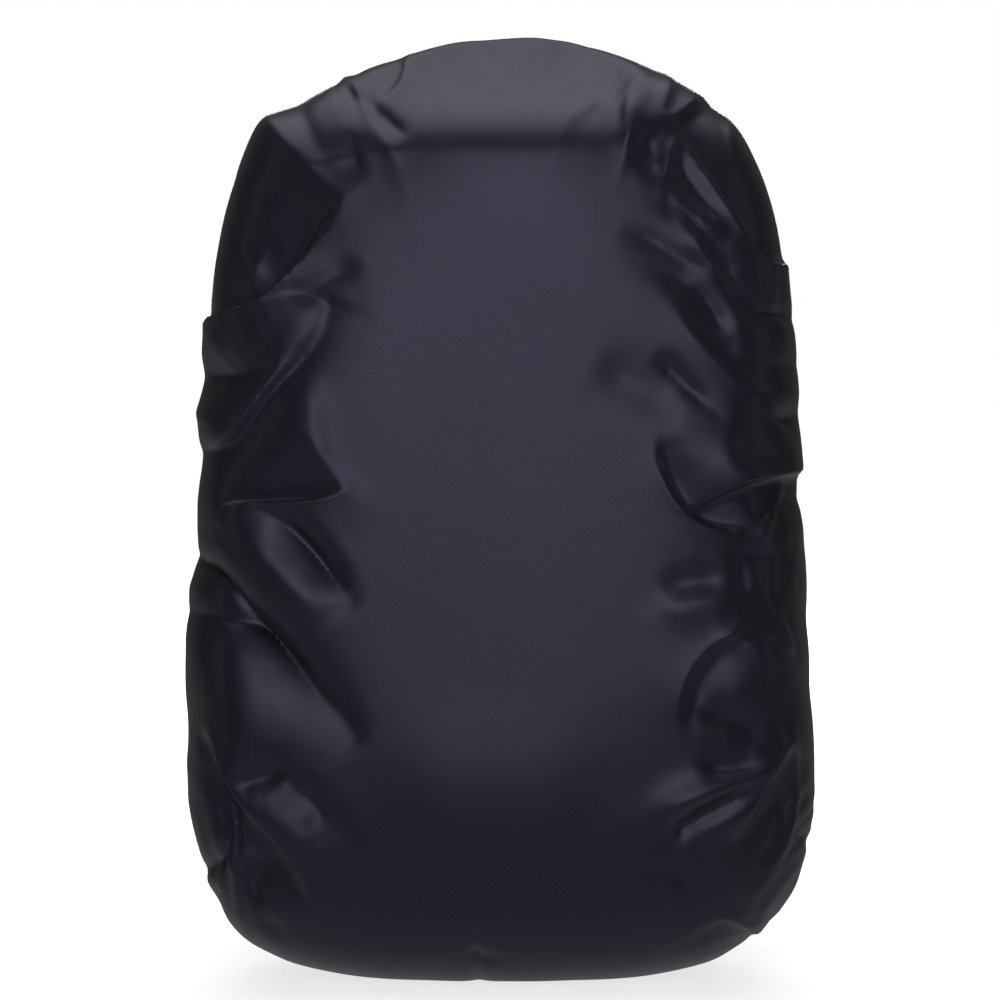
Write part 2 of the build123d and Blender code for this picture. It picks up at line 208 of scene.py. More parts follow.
def net_normals(points: Array) -> Array:
    """Find the direction square to a net that closes round its columns.

    Args:
        points: Array of rows by columns by three.

    Returns:
        Unit directions, all in or all out, and zero at a pole.
    """
    out = np.cross(np.roll(points, -1, 1) - np.roll(points, 1, 1), np.gradient(points, axis=0))
    size = np.linalg.norm(out, axis=2, keepdims=True)
    return np.divide(out, size, out=np.zeros_like(out), where=size > 1e-12)


def reach_of(inside: Callable[[Array, Array], Array], turn: Array, far: float) -> Array:
    """Find how far an outline lies from its middle in each direction, by halving.

    Args:
        inside: Tells for places across and up whether they lie in the outline.
        turn: The directions.
        far: A distance that is outside all round.

    Returns:
        The distances.
    """
    low, high = np.zeros_like(turn), np.full_like(turn, far)
    for _ in range(40):
        mid = (low + high) / 2
        held = inside(mid * np.cos(turn), mid * np.sin(turn))
        low, high = np.where(held, mid, low), np.where(held, high, mid)
    return low


def spokes(path: Array) -> Array:
    """Point away from the bag's middle at each point of a seam, in the seam's plane.

    Args:
        path: The seam's points.

    Returns:
        Unit directions.
    """
    hub = path - MIDDLE
    hub[:, 1] = 0
    return hub / np.linalg.norm(hub, axis=1, keepdims=True)


def creases(points: Array, scale: float = 1.0) -> Array:
    """Draw sharp-edged crumples, about 0 to 2.5, over an array of points."""
    drawn = [noise.ridged_multi_fractal(Vector(p) * scale, 1.0, 2.0, 3, 0.9, 2.0) for p in points.reshape(-1, 3)]
    return np.array(drawn).reshape(points.shape[:-1])


def lumps(points: Array, scale: float = 1.0) -> Array:
    """Draw soft lumps, about -1 to 1, over an array of points."""
    return np.array([noise.noise(Vector(p) * scale) for p in points.reshape(-1, 3)]).reshape(points.shape[:-1])


def ring_blur(values: Array, width: float) -> Array:
    """Blur a closed ring of values.

    Args:
        values: The values, evenly spaced round the ring.
        width: Standard deviation of the blur, in steps.

    Returns:
        The blurred values.
    """
    reach = int(4 * width)
    kernel = np.exp(-0.5 * (np.arange(-reach, reach + 1) / width) ** 2)
    kernel /= kernel.sum()
    return np.convolve(np.concatenate([values[-reach:], values, values[:reach]]), kernel, "valid")


def ease_net(net_values: Array, passes: int) -> Array:
    """Soften values on a net that closes round its columns.

    Args:
        net_values: Rows by columns, by any more axes.
        passes: How often each point takes a share of its neighbours.

    Returns:
        The softened values.
    """
    for _ in range(passes):
        net_values = (np.roll(net_values, 1, 1) + 2 * net_values + np.roll(net_values, -1, 1)) / 4
        inner = (net_values[:-2] + 2 * net_values[1:-1] + net_values[2:]) / 4
        net_values = np.concatenate([net_values[:1], inner, net_values[-1:]])
    return net_values


def even(path: Array, step: float, closed: bool = False) -> Array:
    """Space points evenly along a path.

    Args:
        path: Points of the path.
        step: Wanted distance between points.
        closed: Whether the path runs back to its start.

    Returns:
        The new points.
    """
    if closed:
        path = np.concatenate([path, path[:1]])
    gone = np.concatenate([[0], np.cumsum(np.linalg.norm(np.diff(path, axis=0), axis=1))])
    count = max(3, round(gone[-1] / step) + (0 if closed else 1))
    at = np.linspace(0, gone[-1], count, endpoint=not closed)
    return np.stack([np.interp(at, gone, path[:, axis]) for axis in range(3)], 1)


def eased(path: Array, passes: int, closed: bool = False) -> Array:
    """Round the corners of an evenly spaced path.

    Args:
        path: Its points.
        passes: How often each point takes a share of its neighbours.
        closed: Whether the path runs back to its start.

    Returns:
        The rounded path.
    """
    path = path.copy()
    for _ in range(passes):
        if closed:
            path = (np.roll(path, 1, 0) + 2 * path + np.roll(path, -1, 0)) / 4
        else:
            path[1:-1] = (path[:-2] + 2 * path[1:-1] + path[2:]) / 4
    return path


def directions(path: Array, out: Array, closed: bool) -> tuple[Array, Array, Array]:
    """Find the three directions that travel along a path.

    Args:
        path: Points of the path.
        out: Outward direction, one for all points or one each.
        closed: Whether the path runs back to its start.

    Returns:
        Ahead, across and outward directions at each point.
    """
    ahead = np.roll(path, -1, 0) - np.roll(path, 1, 0) if closed else np.gradient(path, axis=0)
    ahead /= np.linalg.norm(ahead, axis=1, keepdims=True)
    across = np.cross(ahead, np.broadcast_to(out, path.shape))
    across /= np.linalg.norm(across, axis=1, keepdims=True)
    return ahead, across, np.cross(across, ahead)


def profile(wide: float, thick: float, power: float = 2.0, count: int = 12) -> Array:
    """Lay out a closed rounded profile, from a circle (power 2) to nearly a rectangle.

    Args:
        wide: Size across the path.
        thick: Size along the outward direction.
        power: Squareness of the corners.
        count: Number of points.

    Returns:
        Points with their place across and outwards.
    """
    turn = np.linspace(0, math.tau, count, endpoint=False)
    place = np.stack([np.cos(turn), np.sin(turn)], 1)
    return np.array((wide / 2, thick / 2)) * np.sign(place) * np.abs(place) ** (2 / power)


def face_outwards(piece: Piece) -> Piece:
    """Turn every face of a closed piece outwards.

    Args:
        piece: The piece.

    Returns:
        The same piece.
    """
    with edited(piece):
        bpy.ops.mesh.normals_make_consistent(inside=False)
    return piece


def sweep(
    name: str, path: Array, out: Array | tuple, shape: Array, closed: bool = False,
    widths: Array | None = None, depths: Array | None = None,
) -> Piece:
    """Carry a closed profile along a path.

    Args:
        name: Name of the new piece.
        path: Evenly spaced points.
        out: Outward direction, one for all points or one each.
        shape: The profile's points.
        closed: Whether the path runs back to its start.
        widths: Scale of the profile across, at each point.
        depths: Scale of the profile outwards, at each point.

    Returns:
        The closed piece.
    """
    _ahead, across, lift = directions(path, np.asarray(out, float), closed)
    wide = np.ones(len(path)) if widths is None else widths
    deep = np.ones(len(path)) if depths is None else depths
    rows = (
        path[:, None]
        + across[:, None] * (shape[None, :, :1] * wide[:, None, None])
        + lift[:, None] * (shape[None, :, 1:] * deep[:, None, None])
    )
    if closed:
        rows = np.concatenate([rows, rows[:1]])
    else:
        ends = [np.repeat(row.mean(0)[None, None], len(shape), 1) for row in (rows[0], rows[-1])]
        rows = np.concatenate([ends[0], rows, ends[1]])
    return face_outwards(net(name, rows, around=True))


def slab(name: str, low: tuple, high: tuple, bevel: float) -> Piece:
    """Cut a patch with rounded edges out of a cube.

    Args:
        name: Name of the new piece.
        low: Lowest corner.
        high: Highest corner.
        bevel: Radius of its edges.

    Returns:
        The patch.
    """
    low, high = np.array(low), np.array(high)
    bpy.ops.object.select_all(action="DESELECT")
    bpy.ops.mesh.primitive_cube_add(size=1, location=(low + high) / 2, scale=high - low)
    piece = bpy.context.object
    piece.name = piece.data.name = name
    bpy.ops.object.transform_apply(location=True, rotation=True, scale=True)
    with edited(piece):
        bpy.ops.mesh.bevel(offset=bevel, segments=4, affect="EDGES")
    bpy.ops.object.shade_smooth()
    return piece


def copies(name: str, seed: Piece, places: Array, frames: Array) -> Piece:
    """Repeat one small modelled shape many times in a single piece.

    Args:
        name: Name of the new piece.
        seed: The shape, at the origin, which is removed.
        places: Where each copy goes.
        frames: Three directions for each copy, which its X, Y and Z axes take.

    Returns:
        The new piece.
    """
    mesh = seed.data
    spots = np.empty(len(mesh.vertices) * 3)
    mesh.vertices.foreach_get("co", spots)
    spots = spots.reshape(-1, 3)
    faces = [list(face.vertices) for face in mesh.polygons]
    moved = places[:, None] + np.einsum("vk,nkc->nvc", spots, frames)
    made = bpy.data.meshes.new(name)
    step = len(spots)
    made.from_pydata(
        moved.reshape(-1, 3).tolist(), [],
        [[corner + k * step for corner in face] for k in range(len(places)) for face in faces],
    )
    made.polygons.foreach_set("use_smooth", [True] * len(made.polygons))
    bpy.data.objects.remove(seed)
    return linked(name, made)


def stitch_line(
    name: str, paths: list[tuple[Array, Array | tuple]], pitch: float = 4.4, thick: float = 0.8
) -> Piece:
    """Sew rows of lockstitches along paths.

    Args:
        name: Name of the new piece.
        paths: Each row's points with its outward direction or directions.
        pitch: Length of a stitch with its gap, in millimetres.
        thick: Thread width in millimetres, drawn thicker than the real 0.4 so that it shows.

    Returns:
        All the stitches in one piece.
    """
    places, frames = [], []
    for path, out in paths:
        out = np.broadcast_to(np.asarray(out, float), path.shape)
        spaced = even(np.asarray(path, float), pitch * MM)
        share = np.linspace(0, len(path) - 1, len(spaced))
        leans = np.stack([np.interp(share, np.arange(len(path)), out[:, axis]) for axis in range(3)], 1)
        ahead, across, lift = directions(spaced, leans, False)
        places.append((spaced[:-1] + spaced[1:]) / 2)
        frames.append(np.stack([ahead, across, lift], 1)[:-1])
    bpy.ops.object.select_all(action="DESELECT")
    bpy.ops.mesh.primitive_ico_sphere_add(subdivisions=1, radius=0.5)
    seed = bpy.context.object
    bpy.ops.transform.resize(value=(pitch * 0.8 * MM, thick * MM, thick * 0.8 * MM))
    bpy.ops.object.transform_apply(location=True, rotation=True, scale=True)
    return copies(name, seed, np.concatenate(places), np.concatenate(frames))


def box_cross(middle: tuple, wide: float, high: float) -> list[tuple[Array, tuple]]:
    """Lay out a sewn box with a cross in it, on a patch that faces +Y.

    Args:
        middle: Middle of the box.
        wide: Its width.
        high: Its height.

    Returns:
        Rows for stitch_line.
    """
    x, y, z = middle
    a, b = wide / 2, high / 2
    corners = [(x - a, y, z - b), (x + a, y, z - b), (x + a, y, z + b), (x - a, y, z + b)]
    pairs = [(0, 1), (1, 2), (2, 3), (3, 0), (0, 2), (1, 3)]
    return [(np.linspace(corners[i], corners[j], 12), OUT) for i, j in pairs]


def settle(piece: Piece, body: str, finish: Finish, slot: str, *nodes: str) -> Piece:
    """Dress a piece, fix it to its body and hide the solids that it stands for.

    Args:
        piece: The piece.
        body: Name of the body that it moves with, or nothing for a piece between two bodies, which is then tied to
            neither.
        finish: Its finish.
        slot: The record's slot for its finish; not used.
        nodes: Solids that it replaces.

    Returns:
        The same piece.
    """
    piece.data.materials.clear()
    piece.data.materials.append(dressed(finish))
    if body:
        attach(piece, body)
    if nodes:
        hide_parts(*nodes)
    log.info("%s: %d faces on %s", piece.name, len(piece.data.polygons), body or "two bodies")
    return piece


# ---------------------------------------------------------------- finishes
def start_finish(name: str) -> tuple[bpy.types.Material, bpy.types.NodeTree, bpy.types.Node, bpy.types.NodeSocket]:
    """Start a node material.

    Args:
        name: Its name.

    Returns:
        The material, its tree, its shader and the place on the object.
    """
    mat = bpy.data.materials.new(name)
    mat.use_nodes = True
    tree = mat.node_tree
    where = add_node(tree, "ShaderNodeTexCoord").outputs["Object"]
    return mat, tree, tree.nodes["Principled BSDF"], where


@dataclass(frozen=True)
class CoatedNylon:
    """Plain-woven nylon taffeta with a polyurethane coat: thin, black, with a soft broad gloss."""

    name: str = "polyurethane_coated_nylon"
    colour: str = "0f0e13"
    dusty: str = "141319"
    gloss_tint: str = "dbd5ff"
    roughness: float = 0.43

    def make(self) -> bpy.types.Material:
        """Build the material.

        Returns:
            The node material.
        """
        mat, tree, shader, where = start_finish(self.name)
        # the coat is a little uneven over hand widths, which mottles the gloss
        patches = add_node(tree, "ShaderNodeTexNoise", {"Vector": where}, Scale=9.0, Detail=3.0).outputs["Fac"]
        tone = add_node(
            tree, "ShaderNodeMix", {"Factor": patches}, {6: linear(self.colour), 7: linear(self.dusty)},
            data_type="RGBA",
        )
        gloss = add_node(
            tree, "ShaderNodeMapRange", {"Value": patches},
            To_Min=self.roughness - 0.04, To_Max=self.roughness + 0.05,
        )
        # sharp creases, 1 to 3 cm long, where the cloth is slack down both flanks
        apart = add_node(tree, "ShaderNodeSeparateXYZ", {"Vector": where})
        off_middle = add_node(tree, "ShaderNodeMath", {0: apart.outputs["X"]}, operation="ABSOLUTE")
        flank = add_node(
            tree, "ShaderNodeMapRange", {"Value": off_middle.outputs[0]}, From_Min=0.075, From_Max=0.135
        )
        ridges = add_node(
            tree, "ShaderNodeTexNoise", {"Vector": where}, noise_type="RIDGED_MULTIFRACTAL", Scale=26.0,
            Detail=3.0, Roughness=0.5, Distortion=0.9,
        )
        height = add_node(
            tree, "ShaderNodeMath", {0: ridges.outputs["Fac"], 1: flank.outputs["Result"]}, operation="MULTIPLY"
        )
        slack = add_node(tree, "ShaderNodeBump", {"Height": height.outputs[0]}, Strength=0.22, Distance=0.0022)
        # fine crumple lines 4 to 10 mm apart that pressed cloth keeps
        crumple = add_node(
            tree, "ShaderNodeTexNoise", {"Vector": where}, Scale=75.0, Detail=4.0, Roughness=0.55, Distortion=0.6
        )
        soft = add_node(
            tree, "ShaderNodeBump", {"Height": crumple.outputs["Fac"], "Normal": slack.outputs["Normal"]},
            Strength=0.07, Distance=0.002,
        )
        # 0.1 mm taffeta threads, drawn 0.8 mm apart because finer ones don't show
        weave = add_node(tree, "ShaderNodeTexVoronoi", {"Vector": where}, Scale=1250.0)
        fine = add_node(
            tree, "ShaderNodeBump", {"Height": weave.outputs["Distance"], "Normal": soft.outputs["Normal"]},
            Strength=0.06, Distance=0.0003,
        )
        plug(
            tree, shader,
            {"Base Color": tone.outputs[2], "Roughness": gloss.outputs["Result"], "Normal": fine.outputs["Normal"]},
            {"IOR": 1.55, "Specular Tint": linear(self.gloss_tint), "Sheen Weight": 0.05},
        )
        return mat


@dataclass(frozen=True)
class WovenCloth:
    """Filament cloth or webbing, dyed in the yarn: two thread sets that cross, duller than plastic."""

    name: str
    colour: str
    pale: str
    pitch: tuple[float, float, float] = (1.1, 1.1, 1.1)
    relief: float = 0.16
    roughness: float = 0.72
    sheen: float = 0.2
    crumple: float = 0.25

    def make(self) -> bpy.types.Material:
        """Build the material.

        Returns:
            The node material.
        """
        mat, tree, shader, where = start_finish(self.name)
        # 0.5 mm threads, drawn about twice as coarse because finer ones don't show
        threads = None
        for axis, pitch in zip("XYZ", self.pitch):
            wave = add_node(
                tree, "ShaderNodeTexWave", {"Vector": where}, bands_direction=axis,
                Scale=math.tau / 20 / (pitch * MM), Distortion=0.5, Detail=1.0, Detail_Scale=2.0,
            ).outputs["Fac"]
            threads = wave if threads is None else add_node(
                tree, "ShaderNodeMath", {0: threads, 1: wave}, operation="ADD"
            ).outputs[0]
        # handling and light fade the cloth unevenly over some centimetres
        fade = add_node(tree, "ShaderNodeTexNoise", {"Vector": where}, Scale=14.0, Detail=4.0, Roughness=0.6)
        lift = add_node(
            tree, "ShaderNodeMath", {0: threads, 2: fade.outputs["Fac"]}, {1: 0.22},
            operation="MULTIPLY_ADD", use_clamp=True,
        )
        tone = add_node(
            tree, "ShaderNodeMix", {0: lift.outputs[0]}, {6: linear(self.colour), 7: linear(self.pale)},
            data_type="RGBA",
        )
        soft = add_node(tree, "ShaderNodeTexNoise", {"Vector": where}, Scale=90.0, Detail=3.0)
        crumple = add_node(
            tree, "ShaderNodeBump", {"Height": soft.outputs["Fac"]}, Strength=self.crumple, Distance=0.0012
        )
        weave = add_node(
            tree, "ShaderNodeBump", {"Height": threads, "Normal": crumple.outputs["Normal"]},
            Strength=0.8, Distance=self.relief * MM,
        )
        plug(
            tree, shader, {"Base Color": tone.outputs[2], "Normal": weave.outputs["Normal"]},
            {"Roughness": self.roughness, "IOR": 1.54, "Sheen Weight": self.sheen},
        )
        return mat


@dataclass(frozen=True)
class SpacerMesh:
    """Warp-knitted polyester air mesh: a matt net of small holes over foam."""

    name: str = "knitted_polyester_air_mesh"
    colour: str = "1d1d20"
    thread: str = "35353b"
    hole: float = 2.6

    def make(self) -> bpy.types.Material:
        """Build the material.

        Returns:
            The node material.
        """
        mat, tree, shader, where = start_finish(self.name)
        holes = add_node(
            tree, "ShaderNodeTexVoronoi", {"Vector": where}, feature="SMOOTH_F1",
            Scale=1 / (self.hole * MM), Randomness=0.25,
        )
        rim = add_node(
            tree, "ShaderNodeMapRange", {"Value": holes.outputs["Distance"]}, From_Min=0.12, From_Max=0.42
        )
        tone = add_node(
            tree, "ShaderNodeMix", {0: rim.outputs["Result"]},
            {6: linear(self.colour), 7: linear(self.thread)}, data_type="RGBA",
        )
        knit = add_node(
            tree, "ShaderNodeBump", {"Height": rim.outputs["Result"]}, Strength=0.9, Distance=0.0006
        )
        plug(
            tree, shader, {"Base Color": tone.outputs[2], "Normal": knit.outputs["Normal"]},
            {"Roughness": 0.86, "Sheen Weight": 0.35},
        )
        return mat


@dataclass(frozen=True)
class HardFinish:
    """A hard or rubbery surface: fine grain, faint scuffs and a tone that varies a little."""

    name: str
    colour: str
    worn: str
    roughness: float
    metallic: float = 0.0
    grain: float = 0.5
    relief: float = 0.04
    scuffs: float = 0.08
    ribs: float = 0.0

    def make(self) -> bpy.types.Material:
        """Build the material.

        Returns:
            The node material.
        """
        mat, tree, shader, where = start_finish(self.name)
        rub = add_node(
            tree, "ShaderNodeTexNoise", {"Vector": where}, Scale=110.0, Detail=6.0, Roughness=0.7
        ).outputs["Fac"]
        share = add_node(tree, "ShaderNodeMapRange", {"Value": rub}, From_Min=0.5, From_Max=0.72)
        tone = add_node(
            tree, "ShaderNodeMix", {0: share.outputs["Result"]},
            {6: linear(self.colour), 7: linear(self.worn)}, data_type="RGBA",
        )
        gloss = add_node(
            tree, "ShaderNodeMapRange", {"Value": rub}, From_Min=0.3, From_Max=0.7,
            To_Min=self.roughness - self.scuffs, To_Max=self.roughness + self.scuffs,
        )
        pits = add_node(
            tree, "ShaderNodeTexNoise", {"Vector": where}, Scale=1 / (self.grain * MM), Detail=2.0
        ).outputs["Fac"]
        bump = add_node(tree, "ShaderNodeBump", {"Height": pits}, Strength=0.6, Distance=self.relief * MM)
        if self.ribs:
            # moulded ribs that the fingers hold
            wave = add_node(
                tree, "ShaderNodeTexWave", {"Vector": where}, bands_direction="X",
                Scale=math.tau / 20 / (self.ribs * MM),
            ).outputs["Fac"]
            bump = add_node(
                tree, "ShaderNodeBump", {"Height": wave, "Normal": bump.outputs["Normal"]},
                Strength=1.0, Distance=0.0008,
            )
        plug(
            tree, shader,
            {"Base Color": tone.outputs[2], "Roughness": gloss.outputs["Result"], "Normal": bump.outputs["Normal"]},
            {"Metallic": self.metallic},
        )
        return mat


class Finish(Enum):
    """The finishes of the cover and of the bag under it."""

    COVER = CoatedNylon()
    # 600 denier polyester, plain weave: a dull charcoal check
    SHELL = WovenCloth("polyester_oxford_cloth", "18181b", "2a2a2f")
    # heavy coated tarpaulin on the base: nearly smooth, greyer where it rubs
    BASE = WovenCloth("vinyl_coated_base_cloth", "131315", "242427", (1.8, 1.8, 1.8), 0.12, 0.55, 0.0)
    # woven nylon webbing: strong cross ribs and a faint gloss
    WEBBING = WovenCloth("ribbed_nylon_webbing", "121214", "26262a", (2.0, 2.0, 1.5), 0.3, 0.62, 0.1)
    # knitted binding tape round seams and edges
    BINDING = WovenCloth("knitted_binding_tape", "141417", "2b2b30", (1.0, 1.0, 1.0), 0.18, 0.8, 0.2)
    # twill tape that carries the zip teeth
    ZIP_TAPE = WovenCloth("twill_zip_tape", "151518", "222226", (0.8, 0.8, 0.8), 0.1, 0.7, 0.1)
    # brushed cotton clothes packed in the load
    LOAD = WovenCloth("brushed_cotton_load", "8b857c", "a9a398", (1.6, 1.6, 1.6), 0.2, 0.9, 0.4)
    MESH = SpacerMesh()
    # twisted polyester sewing thread, a shade lighter than the cloth so that stitches read
    THREAD = HardFinish("bonded_polyester_thread", "2c2c31", "3c3c42", 0.55, grain=0.3)
    # nylon monofilament, formed into a coil: dark and rather glossy
    COIL = HardFinish("nylon_monofilament_coil", "101012", "232327", 0.38)
    # acetal, injection moulded in a spark-eroded tool: even satin grain, pale scuffs
    ACETAL = HardFinish("moulded_acetal", "141416", "2b2b2e", 0.46, grain=0.35, relief=0.05)
    # zinc die casting under black lacquer, rubbed on its proud parts
    ZINC = HardFinish("black_lacquered_zinc", "17171a", "5c5c60", 0.36, metallic=0.55)
    # round steel wire, phosphated and oiled black
    STEEL = HardFinish("blackened_steel_wire", "1c1c1f", "6a6a70", 0.34, metallic=0.8, relief=0.03)
    # natural rubber strands of the hem cord
    RUBBER = HardFinish("natural_rubber_cord", "1f1f21", "313134", 0.7, grain=0.8)
    # thermoplastic rubber sleeve with moulded ribs
    GRIP = HardFinish("ribbed_grip_rubber", "19191b", "2c2c2e", 0.66, grain=0.6, ribs=4.0)
    # extruded polythene sheet: pebbled, slightly milky black
    POLYTHENE = HardFinish("pebbled_polythene_sheet", "232325", "38383a", 0.5, grain=1.4, relief=0.12)


_MADE: dict[Finish, bpy.types.Material] = {}


def dressed(finish: Finish) -> bpy.types.Material:
    """Give the one material of a finish, made at its first use.

    Args:
        finish: The finish.

    Returns:
        Its material.
    """
    if finish not in _MADE:
        _MADE[finish] = finish.value.make()
    return _MADE[finish]


# ---------------------------------------------------------------- rain cover
@dataclass(frozen=True)
class Fold:
    """A fold of the cover: a line that the cloth stands up along, or sinks along.

    A point of two numbers is a place seen from the front, and one of three is a place in
    space, both in millimetres. The cloth falls off over one reach left of the line and
    over the other right of it, facing the way that the line runs. A drop makes it a tuck:
    the cloth left of the line lies that much lower, behind a steep edge.
    """

    line: tuple[tuple[float, ...], ...]
    height: float
    left: float
    right: float
    start: float = 0.0
    end: float = 0.0
    drop: float = 0.0
    crisp: float = 0.12
    pinch: float = 0.4


@dataclass(frozen=True)
class Swell:
    """A broad rise or hollow of the cover, with its middle and half sizes in millimetres."""

    middle: tuple[float, ...]
    wide: float
    high: float
    height: float
    turn: float = 0.0


@dataclass
class RainCover:
    """The coated cloth cover with its gathered skirt and its elastic hem."""

    columns: int = 620
    rings: int = 156
    middle_z: float = 0.260
    front_low: float = 0.127
    front_high: float = 0.108
    back: float = 0.1055
    brow_z: float = 0.466
    brow_depth: float = 0.094
    brow_slope: float = 1.25
    brow_soft: float = 0.013
    brow_left: float = 0.152
    brow_right: float = 0.108
    eye: float = 2.4
    outline: tuple[tuple[float, float], ...] = (
        (0, 519), (24, 520), (52, 514), (80, 504), (107, 490), (131, 471), (144, 445), (154, 415),
        (160, 385), (163, 356), (165, 330), (166, 300), (166, 270), (168, 240), (169, 200),
        (171, 160), (174, 123), (173, 85), (164, 50), (146, 27), (120, 10), (80, 1), (40, -2),
        (0, -3), (-40, -2), (-80, 1), (-118, 9), (-146, 24), (-163, 58), (-172, 91), (-172, 140),
        (-174, 180), (-172, 214), (-167, 245), (-165, 285), (-166, 330), (-163, 358), (-157, 406),
        (-147, 441), (-133, 474), (-112, 482), (-92, 493), (-73, 503), (-54, 509), (-27, 517),
    )
    hem_half: float = 0.138
    hem_low: float = 0.044
    hem_centre: float = 0.330
    hem_corner: float = 0.050
    hem_y: float = 0.106

    def silhouette(self) -> tuple[Array, Array, Array]:
        """Work out the outline's distance from the middle in every direction.

        Returns:
            Evenly spaced angles, the distance at each, and the same without its detail.
        """
        points = np.array(self.outline) * MM - (0, self.middle_z)
        angle = np.unwrap(np.arctan2(points[:, 1], points[:, 0]))
        far = np.hypot(points[:, 0], points[:, 1])
        order = np.argsort(angle)
        angle, far = angle[order], far[order]
        fine = np.linspace(angle[0], angle[0] + 2 * math.pi, 2880, endpoint=False)
        wide = np.interp(
            fine,
            np.concatenate([angle - 2 * math.pi, angle, angle + 2 * math.pi]),
            np.tile(far, 3),
        )
        return fine, ring_blur(wide, 11.0), ring_blur(wide, 110.0)

    def hem_reach(self, angle: Array) -> Array:
        """Find how far the hem line lies from the middle, in each direction.

        Args:
            angle: Directions in the XZ plane.

        Returns:
            Distances in metres.
        """

        def inside(x: Array, z: Array) -> Array:
            """Tell whether places lie within the arch above or the rounded box below.

            Args:
                x: How far they are across.
                z: Their heights above the middle.

            Returns:
                True for each place within.
            """
            x, z = np.abs(x), self.middle_z + z
            arch = np.hypot(x, z - self.hem_centre) < self.hem_half
            corner_x, corner_z = self.hem_half - self.hem_corner, self.hem_low + self.hem_corner
            corner = np.hypot(x - corner_x, z - corner_z) < self.hem_corner
            box = (x < self.hem_half) & (z > self.hem_low) & ((z > corner_z) | (x < corner_x) | corner)
            return np.where(z > self.hem_centre, arch, box)

        return reach_of(inside, angle, 0.4)

    def taut(self) -> tuple[Array, Array]:
        """Lay out the cover's net on the taut form, before any fold.

        Returns:
            The points, rows by columns by three, and each one's share of the way to the hem.
        """
        fine, wide, plain = self.silhouette()
        edge = np.stack([wide * np.cos(fine), wide * np.sin(fine)], 1)
        step = np.linalg.norm(np.roll(edge, -1, 0) - edge, axis=1)
        run = np.concatenate([[0], np.cumsum(step)])
        at = np.linspace(0, run[-1], self.columns, endpoint=False)
        angle = np.interp(at, run, np.concatenate([fine, [fine[0] + 2 * math.pi]]))
        whole = np.concatenate([fine, [fine[0] + 2 * math.pi]])
        edge_far = np.interp(angle, whole, np.concatenate([wide, wide[:1]]))
        plain_far = np.interp(angle, whole, np.concatenate([plain, plain[:1]]))
        across = np.linspace(0, math.pi, 1200)[:, None]
        upward, downward = np.clip(np.sin(angle), 0, 1) ** 2, np.clip(-np.sin(angle), 0, 1) ** 2
        power = 4.2 + 0.3 * upward - 0.15 * downward
        power_back = 8.0 - 1.0 * upward - 3.0 * downward
        front = across < math.pi / 2
        use = np.where(front, power, power_back)
        share = np.sin(across) ** (2 / use)
        flat = np.abs(np.cos(across)) ** (2 / use)
        far = plain_far + (edge_far - plain_far) * smoothstep((share - 0.74) / 0.26)
        x, z = share * far * np.cos(angle), self.middle_z + share * far * np.sin(angle)
        depth = np.where(
            front,
            -(self.front_low + (self.front_high - self.front_low) * np.clip((z - 0.1) / 0.3, -0.35, 1.2)),
            self.back + 0 * z,
        )
        y = depth * flat
        # the top is a slanting face of its own, with a soft edge to the front
        slant = self.brow_depth - (z - self.brow_z) * self.brow_slope
        ends = np.where(x > 0, (self.brow_right - x) / 0.050, (self.brow_left + x) / 0.055)
        slant = slant + 0.050 * (1 - smoothstep(ends))
        gap = np.clip(0.5 + (slant + y) / (2 * self.brow_soft), 0, 1)
        y = np.where(
            front, np.minimum(0, -((1 - gap) * slant - gap * y - self.brow_soft * gap * (1 - gap))), y
        )
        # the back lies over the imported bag
        y = np.where(front, y, np.maximum(y, self.over_bag(x, z)))
        # stop each column where it reaches the hem on the back
        reach = self.hem_reach(angle) + 0.003
        done = (~front) & (share * far < reach)
        points = np.stack([x, y, z], 2)
        laid = np.zeros((self.rings, self.columns, 3))
        way = np.linspace(0, 1, self.rings) ** 0.86
        for k in range(self.columns):
            last = int(np.argmax(done[:, k])) if done[:, k].any() else len(across) - 1
            column = points[: last + 1, k]
            gone = np.concatenate([[0], np.cumsum(np.linalg.norm(np.diff(column, axis=0), axis=1))])
            laid[:, k] = np.stack([np.interp(way * gone[-1], gone, column[:, axis]) for axis in range(3)], 1)
        laid[0] = laid[0].mean(0)
        return laid, np.repeat(way[:, None], self.columns, 1)

    @staticmethod
    def held_off(points: Array) -> Array:
        """Keep the cover's front outside the bag's front panel and pocket.

        Args:
            points: The cover's net.

        Returns:
            The net, moved out where it would touch.
        """
        bag = BagBody()
        x, y, z = (points[..., k] for k in range(3))
        half = bag.half_at(np.clip(z, 0, 0.5))
        face = bag.front_y(np.clip(x, -half + 0.001, half - 0.001), np.clip(z, 0.006, 0.5)) - 0.0032
        pocket = smoothstep((0.106 - np.abs(x)) / 0.012) * smoothstep((z - 0.036) / 0.012)
        face = face - 0.0180 * pocket * smoothstep((0.312 - z) / 0.012)
        near = (y < -0.02) & (np.abs(x) < half) & (z < 0.47)
        push = np.where(near, np.maximum(y - face, 0), 0)
        points[..., 1] = y - np.maximum(push, ease_net(push, 24))
        return points

    @staticmethod
    def over_bag(x: Array, z: Array) -> Array:
        """Find how deep the cover must reach to clear the bag's back.

        Args:
            x: Places across.
            z: Heights.

        Returns:
            The least Y at each place, and nothing beyond the bag.
        """
        bag = BagBody()
        h = np.clip((z - bag.bottom) * bag.height / (bag.height - bag.bottom - bag.top), 0, bag.height)
        _fore, aft = bag.corners(h)
        past = np.abs(x) - (bag.half_at(h) - aft)
        deep = bag.back_at(h) - aft + np.sqrt(np.clip(aft**2 - np.clip(past, 0, aft) ** 2, 0, None)) + 0.0045
        within = smoothstep((bag.half_at(h) + 0.004 - np.abs(x)) / 0.004) * smoothstep((0.517 - z) / 0.004)
        return np.minimum(deep, 0.1052) * within

